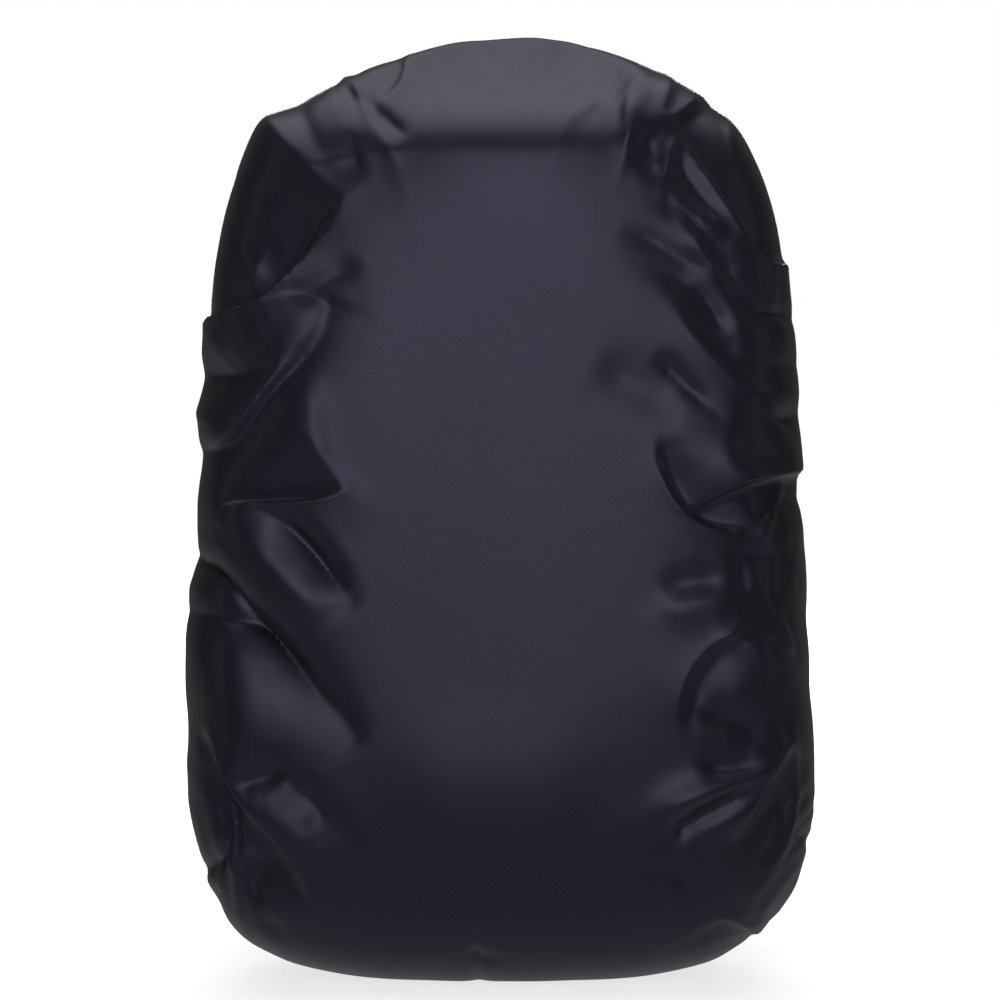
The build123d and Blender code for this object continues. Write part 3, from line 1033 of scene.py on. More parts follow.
    def pleats(self, taut: Array, way: Array) -> Array:
        """Work out the long folds down the sides and the fine gathers at the hem.

        Args:
            taut: The taut net.
            way: Each point's share of the way to the hem.

        Returns:
            How far each point stands out.
        """
        dice = np.random.default_rng(5)
        turn = np.linspace(0, math.tau, self.columns, endpoint=False)[None]
        long_folds, gathers = np.zeros_like(way), np.zeros_like(way)
        for lobes in (9, 14, 22, 31, 43):
            drift = dice.uniform(-2.2, 2.2)
            long_folds += np.cos(lobes * turn + dice.uniform(0, math.tau) + drift * 5 * way) / lobes**0.3
        patchy = 0.65 + 0.35 * np.cos(5 * turn + 1.0) * np.cos(3 * turn + 9 * way)
        for lobes in (74, 92, 111):
            gathers += np.cos(lobes * turn + dice.uniform(0, math.tau)) / 3
        ridge = np.clip(1 - np.abs(long_folds) * 1.5, 0, 1) ** 1.6
        y = taut[..., 1]
        on_side = smoothstep((y + 0.01) / 0.06) * smoothstep((taut[..., 2] - 0.02) / 0.05) * patchy
        near_hem = smoothstep((way - 0.86) / 0.14)
        height = on_side * (0.0030 + 0.0012 * near_hem) * ridge
        height -= 0.0012 * on_side * (1 - near_hem) * np.clip(long_folds, 0, 1)
        return height + 0.0016 * (0.6 + 0.4 * gathers) * near_hem * gathers**2 * 2.2

    @staticmethod
    def corner_gathers(taut: Array, normal: Array) -> Array:
        """Work out the bunched cloth at the lower corners, under the top's ends and down the sides.

        Args:
            taut: The taut net.
            normal: Its outward directions.

        Returns:
            How far each point stands out.
        """
        x, z = taut[..., 0] / MM, taut[..., 2] / MM
        height = np.zeros_like(x)
        for mid_x, mid_z, wide, high, lean, pitch, tall in BUNCHES:
            turn = math.radians(lean)
            across = -(x - mid_x) * math.sin(turn) + (z - mid_z) * math.cos(turn)
            along = (x - mid_x) * math.cos(turn) + (z - mid_z) * math.sin(turn)
            phase = across / pitch + 0.55 * np.sin(along / 17.0 + across / 23.0) + 0.02 * along
            ridge = 1 - np.abs(np.mod(phase, 1.0) * 2 - 1)
            patch = np.exp(-(((x - mid_x) / wide) ** 2) - ((z - mid_z) / high) ** 2)
            height += tall * (ridge**1.5 - 0.4) * patch * (0.7 + 0.3 * np.sin(along / 11.0 + mid_x))
        return height * MM * (normal[..., 1] < 0.3)

    def hem(self) -> Piece:
        """Model the gathered tube that holds the elastic.

        Returns:
            The closed tube.
        """
        turn = np.linspace(0, math.tau, 1600, endpoint=False)
        reach = self.hem_reach(turn)
        line = np.stack([reach * np.cos(turn), 0 * turn + self.hem_y, self.middle_z + reach * np.sin(turn)], 1)
        line = even(line, 0.0019, closed=True)
        steps = np.arange(len(line))
        dice = np.random.default_rng(8)
        lobes = (118, 143, 171, 204)
        ruck = sum(np.cos(steps * math.tau * n / len(steps) + dice.uniform(0, math.tau)) for n in lobes) / 4
        return sweep(
            "hem_tube", line, OUT, profile(0.0106, 0.0106, count=16), closed=True,
            widths=1 + 0.10 * ruck, depths=1 + 0.12 * np.roll(ruck, 3),
        )

    def build(self) -> Piece:
        """Model the cover's cloth.

        Returns:
            The cloth, from the middle of the front to the hem.
        """
        taut, way = self.taut()
        normal = net_normals(taut)
        normal[0] = AHEAD
        if normal[60, 0, 1] > 0 or normal[20, 0, 1] > 0:
            normal[1:] *= -1
        rise = np.zeros(taut.shape[:2])
        slide = np.zeros_like(taut)
        sheet = Creaser(taut, normal, self.eye)
        for fold in FOLDS:
            sheet.press(fold, rise, slide)
        for swell in SWELLS:
            sheet.swell(swell, rise)
        # folds calm down where the cloth turns away round the sides
        turning = np.exp(-((normal[..., 1] / 0.30) ** 2))[..., None] + (normal[..., 1:2] > 0)
        calm = 1 - 0.72 * np.clip(turning, 0, 1)
        pleated = normal * (self.pleats(taut, way) + self.corner_gathers(taut, normal))[..., None]
        shaped = taut + ease_net((normal * rise[..., None] + slide) * calm + pleated, 1)
        shaped = self.held_off(shaped)
        # the base settles on the floor without going through it
        z = shaped[..., 2]
        shaped[..., 2] = np.where(z < 0.004, 0.0006 + 0.0034 * np.exp((z - 0.004) / 0.0034), z)
        return net("cover_cloth", shaped, around=True)


class Creaser:
    """Presses folds into a net of points along its outward directions."""

    def __init__(self, taut: Array, normal: Array, eye: float) -> None:
        """Keep the net and its view from the front.

        Args:
            taut: Points of the net, rows by columns by three.
            normal: Outward directions at those points.
            eye: Distance of the eye in front of the origin, in metres.
        """
        self.taut, self.normal = taut, normal
        self.flat = taut.reshape(-1, 3)
        self.out = normal.reshape(-1, 3)
        near = eye / (eye + self.flat[:, 1])
        self.seen = np.stack([self.flat[:, 0] * near, (self.flat[:, 2] - 0.26) * near + 0.26], 1)
        self.facing = np.flatnonzero(self.out[:, 1] < 0.12)

    def place(self, point: tuple[float, ...]) -> int:
        """Find the net's point nearest to a fold's point.

        Args:
            point: Two numbers seen from the front, or three in space, in millimetres.

        Returns:
            Its index in the flattened net.
        """
        target = np.array(point) * MM
        if len(point) == 2:
            gap = ((self.seen[self.facing] - target) ** 2).sum(1)
            return int(self.facing[int(np.argmin(gap))])
        return int(np.argmin(((self.flat - target) ** 2).sum(1)))

    def trace(self, fold: Fold) -> tuple[Array, Array, int, int]:
        """Run a smooth line over the net through a fold's points and a little past its ends.

        Args:
            fold: The fold.

        Returns:
            Points about 4 mm apart on the net, the outward direction at each, and how many
            of them lie before and after the fold's own.
        """
        knots = np.array([self.flat[self.place(p)] for p in fold.line])
        if len(knots) > 2:
            ends = np.concatenate([[2 * knots[0] - knots[1]], knots, [2 * knots[-1] - knots[-2]]])
            parts = []
            for a, b, c, d in zip(ends, ends[1:], ends[2:], ends[3:]):
                t = np.linspace(0, 1, max(3, int(np.linalg.norm(c - b) / 0.004)), endpoint=False)[:, None]
                parts.append(0.5 * (2 * b + (c - a) * t + (2 * a - 5 * b + 4 * c - d) * t**2
                                    + (3 * b - a - 3 * c + d) * t**3))
            path = np.concatenate([*parts, knots[-1:]])
        else:
            path = np.linspace(knots[0], knots[-1], max(3, int(np.linalg.norm(knots[1] - knots[0]) / 0.004)))
        first = self.walk(path[0], path[0] - path[2], 9 if fold.start > 0.45 else 3)
        last = self.walk(path[-1], path[-1] - path[-3], 9 if fold.end > 0.45 else 3)
        path = np.concatenate([first[::-1], path, last])
        path, out = self.drop_on(path)
        for _ in range(4 + int(max(fold.left, fold.right) * 0.8)):
            path[1:-1] = (path[:-2] + 2 * path[1:-1] + path[2:]) / 4
        return path, out, len(first), len(last)

    def drop_on(self, path: Array) -> tuple[Array, Array]:
        """Move points onto the net along its nearest outward directions.

        Args:
            path: The points.

        Returns:
            The moved points and the outward direction at each.
        """
        on = np.array([int(np.argmin(((self.flat - p) ** 2).sum(1))) for p in path])
        out = self.out[on]
        return path - out * ((path - self.flat[on]) * out).sum(1)[:, None], out

    def walk(self, begin: Array, heading: Array, steps: int) -> Array:
        """Walk on over the net from a point, 4 mm at a time.

        Args:
            begin: Where to start.
            heading: Which way to go.
            steps: How many steps to take.

        Returns:
            The points walked to.
        """
        spots = []
        for _ in range(steps):
            heading = heading / np.linalg.norm(heading) * 0.004
            spot, _out = self.drop_on((begin + heading)[None])
            heading, begin = spot[0] - begin, spot[0]
            spots.append(begin)
        return np.array(spots)

    def press(self, fold: Fold, rise: Array, slide: Array) -> None:
        """Add one fold to the net's heights and sideways moves.

        Args:
            fold: The fold.
            rise: Heights of the net, changed in place.
            slide: Sideways moves of the net, changed in place.
        """
        path, out, before, after = self.trace(fold)
        reach = 3.2 * max(fold.left, fold.right) * MM
        low, high = path.min(0) - reach, path.max(0) + reach
        near = np.flatnonzero(((self.flat > low) & (self.flat < high)).all(1))
        if not len(near):
            return
        spots = self.flat[near]
        a, b = path[:-1], path[1:]
        run = b - a
        length = np.maximum(np.linalg.norm(run, axis=1), 1e-9)
        gone = np.concatenate([[0], np.cumsum(length)])
        own = gone[before], gone[-1 - after]
        own_length = own[1] - own[0]
        best = np.full(len(near), 1e9)
        along, side, sign = np.zeros(len(near)), np.zeros((len(near), 3)), np.ones(len(near))
        for k in range(len(a)):
            t = np.clip(((spots - a[k]) @ run[k]) / length[k] ** 2, 0, 1)
            gap = spots - (a[k] + t[:, None] * run[k])
            far = np.linalg.norm(gap, axis=1)
            closer = far < best
            best[closer] = far[closer]
            along[closer] = gone[k] + t[closer] * length[k]
            left = np.cross(out[k], run[k] / length[k])
            sign[closer] = np.sign(gap[closer] @ left)
            side[closer] = left * sign[closer, None]
        width = np.where(sign > 0, fold.left, fold.right) * MM
        t = best / width
        sunk = np.zeros(len(near))
        if fold.drop:
            sunk = np.where(sign > 0, np.exp(-t) * smoothstep(3.2 - t), 0.0) * smoothstep(best / TUCK_EDGE)
            t = best / np.where(sign > 0, TUCK_EDGE, fold.right * MM)
        crest = np.exp(fold.crisp - np.sqrt(t * t + fold.crisp**2)) * smoothstep(3.2 - t)
        if fold.crisp >= 0.3:
            crest = np.exp(-0.9 * t * t)
        share = (along - own[0]) / own_length
        fade = fold.start + (1 - fold.start) * smoothstep(share / 0.35)
        fade = np.minimum(fade, fold.end + (1 - fold.end) * smoothstep((1 - share) / 0.35))
        fade *= smoothstep(along / max(own[0], 1e-6))
        fade *= smoothstep((gone[-1] - along) / max(gone[-1] - own[1], 1e-6))
        if max(fold.start, fold.end) < 0.45:
            sunk = sunk * smoothstep((share + 0.04) / 0.14) * smoothstep((1.04 - share) / 0.14)
        # a thin, shallow line is pressed harder, so that it still shows once the net is eased
        narrow = 1.7 if max(fold.left, fold.right) < 4 and abs(fold.height) < 7 else 1.0
        lift = (fold.height * narrow * crest - fold.drop * sunk) * MM * fade
        rise.reshape(-1)[near] += lift
        draw = (abs(fold.height) + fold.drop) * MM * fold.pinch * np.minimum(t * 1.8, 1.0) * np.exp(-t) * fade
        slide.reshape(-1, 3)[near] -= side * draw[:, None]

    def swell(self, swell: Swell, rise: Array) -> None:
        """Add a broad rise or hollow to the net's heights.

        Args:
            swell: Its place and size.
            rise: Heights of the net, changed in place.
        """
        middle = self.place(swell.middle)
        gap = self.flat - self.flat[middle]
        out = self.out[middle]
        up = np.array((0, 0, 1.0)) - out * out[2]
        up /= np.linalg.norm(up)
        across = np.cross(up, out)
        turn = math.radians(swell.turn)
        u, v = gap @ across, gap @ up
        u, v = u * math.cos(turn) + v * math.sin(turn), v * math.cos(turn) - u * math.sin(turn)
        depth = gap @ out
        size = (u / (swell.wide * MM)) ** 2 + (v / (swell.high * MM)) ** 2 + (depth / 0.06) ** 2
        rise += (swell.height * MM * np.exp(-size)).reshape(rise.shape)


FOLDS: tuple[Fold, ...] = (
    # left shoulder: a dark hollow under the corner, closed by one long bright crest
    Fold(((-163, 356), (-142, 373), (-122, 391), (-108, 407),
          (-98, 421), (-90, 433)), 4, 40, 14, start=0.2, end=0.35, drop=20),
    Fold(((-133, 473), (-118, 462), (-100, 449), (-84, 440)), 4.5, 18, 7, start=1, end=0.2),
    Fold(((-150, 380), (-146, 395), (-141, 407)), 2.5, 7, 7, start=0.3, end=0.2),
    Fold(((-152, 412), (-138, 413), (-124, 410)), -2.5, 4, 6),
    Fold(((-118, 381), (-102, 388), (-88, 398), (-76, 406)), -3, 4, 8, start=0.6),
    # second fold down: hollow, thin crest, thin groove with a rounded end
    Fold(((-163, 326), (-146, 338), (-128, 350), (-112, 363)), -10, 9, 11, start=0.9, crisp=0.4),
    Fold(((-157, 301), (-145, 313), (-133, 330), (-119, 345), (-110, 351)), 5, 5, 3.5, start=0.8),
    Fold(((-164, 20, 290), (-154, 299), (-140, 315), (-125, 333), (-110, 349), (-102, 359), (-96, 374)),
         -6.5, 3, 9, start=0.6, end=0.4),
    Fold(((-122, 381), (-108, 382), (-97, 379)), -2, 5, 3, start=0.2, end=0.6),
    Fold(((-165, 317), (-158, 312), (-155, 303)), 3, 3, 3, start=0.6),
    Fold(((-93, 279), (-103, 289), (-107, 302), (-106, 322), (-109, 345)), 3, 24, 8, crisp=0.3,
         start=0.5),
    # waist: a level groove, then the light arm between two slanting grooves
    Fold(((-160, 263), (-145, 267), (-130, 268), (-112, 268), (-98, 267), (-91, 274)),
         3, 13, 8, start=0.15, end=0.35, drop=12),
    Fold(((-133, 263), (-119, 256), (-109, 246), (-98, 234), (-88, 222), (-83, 215)), -8, 3.5, 12,
         start=0.3, end=0.2),
    Fold(((-150, 252), (-132, 236), (-112, 216), (-93, 200)), 4, 13, 11, start=0.6, crisp=0.5),
    Fold(((-166, 50, 246), (-166, 15, 238), (-163, 231), (-155, 222), (-141, 206), (-127, 191),
          (-112, 175), (-99, 160), (-89, 149), (-81, 139)), -12, 4, 15, start=0.8, end=0.2),
    Fold(((-170, 20, 200), (-165, 201), (-145, 197), (-126, 190), (-113, 176), (-99, 162), (-85, 152)),
         -5, 5, 5, start=0.5, end=0.2),
    Fold(((-168, 30, 226), (-171, 214), (-158, 217), (-146, 206)), 4.5, 5, 8, start=0.6),
    # lower left: light wedge over the gathered corner
    Fold(((-148, 108), (-135, 114), (-120, 112)), -3.5, 8, 5, start=0.4, crisp=0.3),
    Fold(((-120, 113), (-108, 103), (-96, 92), (-84, 80)), -4.5, 3, 7, start=0.5, end=0.3),
    Fold(((-110, 94), (-105, 80), (-96, 70)), -1.8, 3, 4),
    Fold(((-146, 106), (-130, 93), (-110, 79), (-92, 67)), 3.5, 12, 9, start=0.5, crisp=0.4),
    Fold(((-105, 41), (-108, 49), (-115, 60), (-125, 72), (-138, 88), (-150, 104), (-158, 121),
          (-165, 141)), 3, 24, 12, start=0.2, end=0.1, drop=10),
    Fold(((-164, 128), (-161, 112), (-156, 94), (-150, 76), (-146, 66)), -6, 3, 3.5, start=0.3, end=0.3),
    Fold(((-168, 130), (-164, 104), (-160, 84), (-158, 66), (-157, 54)), -4, 2.5, 3, start=0.3),
    Fold(((-158, 88), (-155, 70), (-150, 56), (-144, 45)), 2.5, 2.5, 2.5),
    Fold(((-150, 68), (-147, 56), (-138, 46), (-128, 38)), -2.5, 3, 3),
    Fold(((-140, 70), (-136, 58), (-132, 48)), -2.2, 2.5, 3),
    Fold(((-150, 92), (-145, 76), (-139, 62)), 2.4, 3, 3),
    Fold(((-170, 112), (-172, 92), (-164, 66), (-160, 50)), 3, 5, 4, start=0.5, end=0.4),
    Fold(((-142, 34), (-128, 27), (-118, 24)), -2, 5, 4),
    # top: sharp creases where the cloth overlaps, and the soft edge to the front
    Fold(((-88, 499), (-82, 491), (-74, 480), (-62, 462)), 5, 2.6, 2.6, start=0.8, end=0.2),
    Fold(((-80, 497), (-72, 485), (-64, 473), (-57, 463)), -2.6, 2.5, 2.5, start=0.5),
    Fold(((-87, 492), (-79, 481), (-71, 470)), -2.6, 2.5, 3.5, start=0.5),
    Fold(((-71, 490), (-60, 478), (-51, 467)), -4, 2, 5, start=0.4),
    Fold(((-67, 489), (-58, 494), (-54, 502), (-51, 511)), 1.5, 12, 9, start=0.3, end=1, drop=5),
    Fold(((-47, 507), (-42, 491), (-36, 474)), -2.2, 5, 4, start=0.6),
    Fold(((-35, 508), (-27, 490), (-20, 480)), -1.8, 5, 5, start=0.5),
    Fold(((-112, 475), (-98, 461), (-88, 451), (-80, 446)), -3.4, 6, 6, start=0.4),
    Fold(((-84, 474), (-81, 458), (-78, 446)), -2, 3, 4),
    Fold(((-112, 452), (-88, 461), (-60, 464)), 0.9, 1.6, 1.6, start=0.4, end=0.4),
    Fold(((-58, 464), (-30, 471), (0, 472), (40, 472), (72, 472)), 3.2, 34, 38, start=0.3, end=0.6,
         crisp=0.3, pinch=0),
    Fold(((28, 517), (31, 500), (33, 484)), -2.6, 2, 4, start=0.8),
    Fold(((35, 473), (42, 481), (51, 487), (62, 493)), 1.7, 4, 3, start=0.5),
    Fold(((43, 513), (50, 504), (54, 498)), -2, 3, 4, start=0.8),
    Fold(((5, 500), (-4, 508), (-14, 514)), -1.6, 6, 6),
    # right shoulder: dark wedges between slanting crests
    Fold(((74, 497), (73, 480), (72, 468), (68, 455)), 3, 3, 3, start=0.3, end=0.2),
    Fold(((130, 472), (117, 478), (100, 479), (86, 478), (73, 473)), 2, 16, 12, start=0.5, end=0.4, drop=7),
    Fold(((85, 495), (88, 487), (91, 479)), 2.6, 2.4, 2.4, start=0.4, end=0.4),
    Fold(((97, 474), (93, 460), (92, 446)), 2.6, 3, 2.5, start=0.3, end=0.4),
    Fold(((78, 470), (86, 460), (92, 449)), -4, 5, 4, start=0.3, end=0.6),
    Fold(
        ((101, 477), (106, 466), (113, 455), (122, 443), (131, 430), (140, 413), (148, 399), (154, 388)),
        4, 17, 5, start=0.4, end=0.1, drop=11,
    ),
    Fold(((97, 468), (103, 453), (113, 438), (127, 420)), -5, 6, 5, start=0.3, end=0.3),
    Fold(((90, 448), (97, 438), (107, 430), (120, 422), (130, 412)), 3.4, 3, 4, start=0.3, end=0.3),
    Fold(((102, 431), (109, 419), (119, 405), (131, 393), (146, 374), (160, 352), (161, 40, 335)),
         -6.5, 7, 3.5, start=0.4, end=0.4),
    Fold(((102, 422), (112, 409), (122, 398), (128, 394)), 3, 3, 3.5, start=0.3, end=0.3),
    Fold(((64, 422), (80, 417), (96, 408), (110, 400), (124, 396)), -3.4, 4, 9, start=0.1, end=0.4),
    Fold(((106, 390), (114, 384), (122, 372), (129, 358)), -4.5, 6, 5, start=0.6, end=0.2),
    Fold(((92, 384), (104, 370), (113, 357), (126, 344), (140, 330), (154, 318)), 2, 16, 12, start=0.1,
         end=0.5, drop=5),
    Fold(((128, 352), (144, 343), (161, 338)), -3.5, 6, 5, start=0.3, end=0.8),
    Fold(((86, 354), (100, 340), (110, 329), (120, 319)), -4.2, 3.5, 4, start=0.1, end=0.4),
    Fold(((50, 348), (78, 332), (106, 318)), -2.6, 14, 12, crisp=0.6),
    # right waist: the big lobe, its dark mouth and the pinched side
    Fold(((86, 305), (88, 290), (95, 275), (103, 262), (113, 252), (127, 249), (142, 250)), 2.5, 12, 8,
         start=0.2, end=0.2, drop=9),
    Fold(((166, 283), (147, 281), (131, 276), (119, 269), (109, 266)), 4, 11, 17,
         start=0.55, end=0.2, drop=13),
    Fold(((124, 301), (140, 297), (158, 291)), -3.5, 9, 8, start=0.2, end=0.4, crisp=0.4),
    Fold(((116, 307), (136, 312), (150, 314), (160, 313), (158, 40, 316)), -6, 8, 9, start=0.1, end=0.6,
         crisp=0.3),
    Fold(((157, 266), (150, 257), (147, 247), (149, 240)), 2.8, 2.5, 3, start=0.5, end=0.4),
    Fold(((160, 40, 262), (159, 265), (152, 263)), -6, 6, 6, start=0.6, end=0.3),
    Fold(((137, 239), (147, 236), (158, 236)), -3.2, 5, 5, start=0.3, end=0.4),
    Fold(((135, 243), (134, 226), (138, 211)), -2.4, 3, 4),
    Fold(((86, 220), (108, 224), (131, 224)), -2, 8, 8, crisp=0.5),
    Fold(((88, 203), (103, 212), (120, 216), (133, 212)), 2.4, 7, 12, start=0.2, end=0.4, crisp=0.4),
    Fold(((152, 208), (159, 194), (165, 178)), 3, 2.5, 3, start=0.4, end=0.1),
    Fold(((150, 201), (135, 198), (122, 189), (112, 179), (104, 166), (100, 152), (99, 136)), 2.2, 16, 14,
         start=0.3, end=0.1, drop=6.5),
    Fold(((118, 188), (134, 192), (148, 186), (156, 170)), 2.6, 6, 9, crisp=0.4),
    Fold(((108, 146), (122, 148), (138, 142), (152, 134)), -3, 7, 6, crisp=0.4),
    # lower right: two light bands with a hooked groove between them
    Fold(((160, 131), (146, 116), (121, 109), (99, 98), (76, 86)), 6.5, 11, 9, start=0.4, end=0.1, crisp=0.3),
    Fold(((150, 124), (136, 117), (121, 116), (107, 121)), -4, 5, 7, start=0.3),
    Fold(((152, 113), (131, 102), (115, 92), (102, 83), (94, 76), (91, 70), (95, 66)), -5, 3, 3,
         start=0.2, end=0.5),
    Fold(((107, 80), (126, 88), (145, 104)), 2.8, 6, 6, start=0.2),
    Fold(((162, 132), (153, 113), (147, 98), (138, 84), (125, 75)), 2.5, 18, 5, start=0.4, end=0.2, drop=6.5),
    Fold(((171, 112), (172, 94), (168, 76)), -5, 3, 3, start=0.4, end=0.4),
    Fold(((166, 128), (167, 102), (162, 78), (155, 62), (147, 50)), 2.6, 2.5, 2.5, start=0.4, end=0.2),
    Fold(((163, 110), (160, 88), (154, 72), (147, 60)), -2.6, 2.2, 2.6),
    Fold(((160, 96), (155, 80), (148, 67)), 2.2, 2.2, 2.2),
    Fold(((148, 40), (158, 50), (165, 63), (170, 78)), -4.5, 3, 3, start=0.4, end=0.3),
    Fold(((145, 33), (130, 31), (114, 27), (97, 18)), 2, 9, 9, start=0.4, end=0.2, drop=6),
    Fold(((78, 59), (96, 60), (106, 62)), -1.3, 2, 3),
    # front foot: a soft edge where the front starts to turn under, and small puckers
    Fold(((-74, 92), (-44, 106), (0, 108), (40, 105), (64, 96)), 2.6, 40, 44, crisp=0.35, pinch=0),
    Fold(((-70, 6), (-64, 5), (-58, 4)), -3, 3, 3, start=0.5, end=0.5),
    Fold(((-22, 14), (-8, 10), (4, 8)), -1.5, 3, 3),
    Fold(((-14, 5), (-4, 4), (6, 3)), -3, 3, 3, start=0.5, end=0.5),
)
# bunched cloth: middle, half sizes, lean of its creases in degrees, their spacing and their height, in mm
BUNCHES: tuple[tuple[float, ...], ...] = (
    (-144, 78, 26, 46, -62, 9.5, 3.0), (150, 80, 20, 42, 58, 9.5, 2.8), (132, 32, 26, 14, 28, 10.0, 1.6),
    (-78, 482, 20, 16, -50, 10.0, 1.3), (52, 488, 34, 18, 70, 11.0, 1.3), (-140, 330, 18, 40, -40, 12.0, 1.5),
    (146, 375, 16, 40, -55, 10.5, 1.8), (148, 225, 16, 26, -75, 10.0, 1.7), (-150, 235, 14, 30, -30, 11.0, 1.2),
)
SWELLS: tuple[Swell, ...] = (
    Swell((134, 290), 26, 20, 4.0),
    Swell((-150, 170), 30, 34, 3.0),
    Swell((140, 175), 22, 22, 3.0),
    Swell((-118, 420), 26, 26, -4.0),
    Swell((-128, 182), 38, 20, -5.0, -42),
    Swell((-150, 120), 16, 34, 2.5),
)


# ---------------------------------------------------------------- bag body
@dataclass
class BagBody:
    """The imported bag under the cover: cloth panels over the load, piped seams, zips and a front pocket."""

    height: float = 0.520
    side: float = 0.014
    front: float = 0.030
    back: float = 0.0035
    top: float = 0.008
    bottom: float = 0.004
    cloth: float = 0.0022
    front_seam: float = -0.046
    zip_front: float = -0.020
    zip_middle: float = -0.014
    zip_rear: float = -0.008
    zip_end: float = 0.150
    back_seam: float = 0.092
    back_face: float = 0.100
    base_seam: float = 0.018
    pocket_half: float = 0.098
    pocket_low: float = 0.046
    pocket_high: float = 0.300
    pocket_corner: float = 0.034
    pocket_depth: float = 0.0178
    pocket_zip_half: float = 0.072
    pocket_zip_z: float = 0.272

    @staticmethod
    def quarter(t: Array, power: float) -> Array:
        """Fall from 1 at t = 0 to 0 at t = 1 along a quarter of a superellipse."""
        return np.maximum(0.0, 1 - np.clip(t, 0, 1) ** power) ** (1 / power)

    def half_at(self, h: Array) -> Array:
        """Half width at a height of the form.

        Args:
            h: Heights of the form.

        Returns:
            Half width at each.
        """
        low = 0.078 + 0.095 * self.quarter(1 - h / 0.09, 2.2)
        middle = 0.173 - 0.011 * (h - 0.09) / 0.28
        high = 0.162 * self.quarter((h - 0.37) / 0.152, 2.3)
        return np.where(h < 0.09, low, np.where(h < 0.37, middle, high)) - self.side

    def front_at(self, h: Array) -> Array:
        """Depth of the front at a height of the form.

        Args:
            h: Heights of the form.

        Returns:
            Depth of the front at each.
        """
        low = 0.058 + 0.069 * self.quarter(1 - h / 0.1, 2.2)
        middle = 0.127 - 0.020 * (h - 0.1) / 0.3
        high = 0.147 * self.quarter((h - 0.4) / 0.122, 2.2) - 0.04
        return np.where(h < 0.1, low, np.where(h < 0.4, middle, high)) - self.front

    def back_at(self, h: Array) -> Array:
        """Depth of the back at a height of the form.

        Args:
            h: Heights of the form.

        Returns:
            Depth of the back at each.
        """
        low = 0.078 + 0.026 * self.quarter(1 - h / 0.04, 2.0)
        high = 0.064 * self.quarter((h - 0.45) / 0.072, 2.5) + 0.04
        return np.where(h < 0.04, low, np.where(h < 0.45, 0.104, high)) - self.back

    def level(self, h: Array) -> Array:
        """Height above the floor for a height of the form."""
        return self.bottom + h * (self.height - self.bottom - self.top) / self.height

    def corners(self, h: Array) -> tuple[Array, Array]:
        """Find the radii of the form's corners, seen from above.

        Args:
            h: Heights of the form.

        Returns:
            Radii of the front and of the back corners.
        """
        half, deep = self.half_at(h), self.front_at(h) + self.back_at(h)
        front = np.minimum(0.095 - self.side, np.minimum(0.55 * half, 0.6 * deep))
        return front, np.minimum(0.034, np.minimum(0.3 * half, 0.25 * deep))

    def reach_at(self, h: Array, y: float) -> Array:
        """Find the form's half width where an upright plane cuts it.

        Args:
            h: Heights of the form.
            y: The plane.

        Returns:
            Half widths.
        """
        half, front, back = self.half_at(h), self.front_at(h), self.back_at(h)
        fore, aft = self.corners(h)
        past_front = np.clip(-y - (front - fore), 0, fore)
        past_back = np.clip(y - (back - aft), 0, aft)
        return half - (fore - np.sqrt(fore**2 - past_front**2)) - (aft - np.sqrt(aft**2 - past_back**2))

    def seam(self, y: float, low: float = 0.0) -> Array:
        """Run a line round the form at a plane y.

        Args:
            y: The plane.
            low: Height of the form where the line starts.

        Returns:
            Points from the right side, over the top, to the left side.
        """
        h = np.linspace(low, self.height, 900)
        inside = (y > -self.front_at(h)) & (y < self.back_at(h))
        h = h[inside]
        x = self.reach_at(h, y)
        right = np.stack([x, np.full_like(h, y), self.level(h)], 1)
        return np.concatenate([right, right[::-1] * (-1, 1, 1)])

    def shell(self) -> Array:
        """Lay out the whole bag's skin with its seams drawn in and its cloth crumpled.

        Returns:
            The net's points.
        """
        net_rows = []
        for h in self.height * (0.5 - 0.5 * np.cos(np.linspace(0, math.pi, 170))):
            half, front, back = (float(f(h)) for f in (self.half_at, self.front_at, self.back_at))
            fore, aft = (float(c) for c in self.corners(h))
            turn_a = np.linspace(0, math.pi / 2, 10)[1:]
            turn_f = np.linspace(0, math.pi / 2, 34)[1:]
            parts = [
                np.stack([np.linspace(0, half - aft, 26), np.full(26, back)], 1),
                np.stack([half - aft + aft * np.sin(turn_a), back - aft + aft * np.cos(turn_a)], 1),
                np.stack([np.full(30, half), np.linspace(back - aft, fore - front, 31)[1:]], 1),
                np.stack([half - fore + fore * np.cos(turn_f), fore - front - fore * np.sin(turn_f)], 1),
                np.stack([np.linspace(half - fore, 0, 24)[1:], np.full(23, -front)], 1),
            ]
            right = np.concatenate(parts)
            ring = np.concatenate([right, (right * (-1, 1))[-2:0:-1]])
            net_rows.append(np.column_stack([ring, np.full(len(ring), float(self.level(h)))]))
        body = np.array(net_rows)
        middle = (body.max(1) + body.min(1)) / 2
        top = [middle[-1] + (body[-1] - middle[-1]) * s for s in (0.75, 0.5, 0.25, 0.0)]
        base = [middle[0] + (body[0] - middle[0]) * s for s in (0.0, 0.15, 0.3, 0.45, 0.6, 0.72, 0.84, 0.93)]
        points = np.concatenate([np.array(base), body, np.array(top)])
        out = net_normals(points)
        if out[90, 0, 1] < 0:
            out *= -1
        for rows, pole in ((slice(0, 9), (0, 0, -1.0)), (slice(-5, None), (0, 0, 1.0))):
            out[rows] = np.where(np.abs(out[rows]).sum(2, keepdims=True) < 0.5, pole, out[rows])
        y, z = points[..., 1], points[..., 2]
        gap = np.minimum(np.abs(y - self.front_seam), np.abs(y - self.zip_middle) - 0.006)
        gap = np.minimum(np.abs(gap), np.abs(y - self.back_seam))
        gap = np.minimum(gap, np.where(y > self.front_seam, np.abs(z - self.base_seam), 1))
        rise = -0.0016 * np.exp(-((gap / 0.005) ** 2))
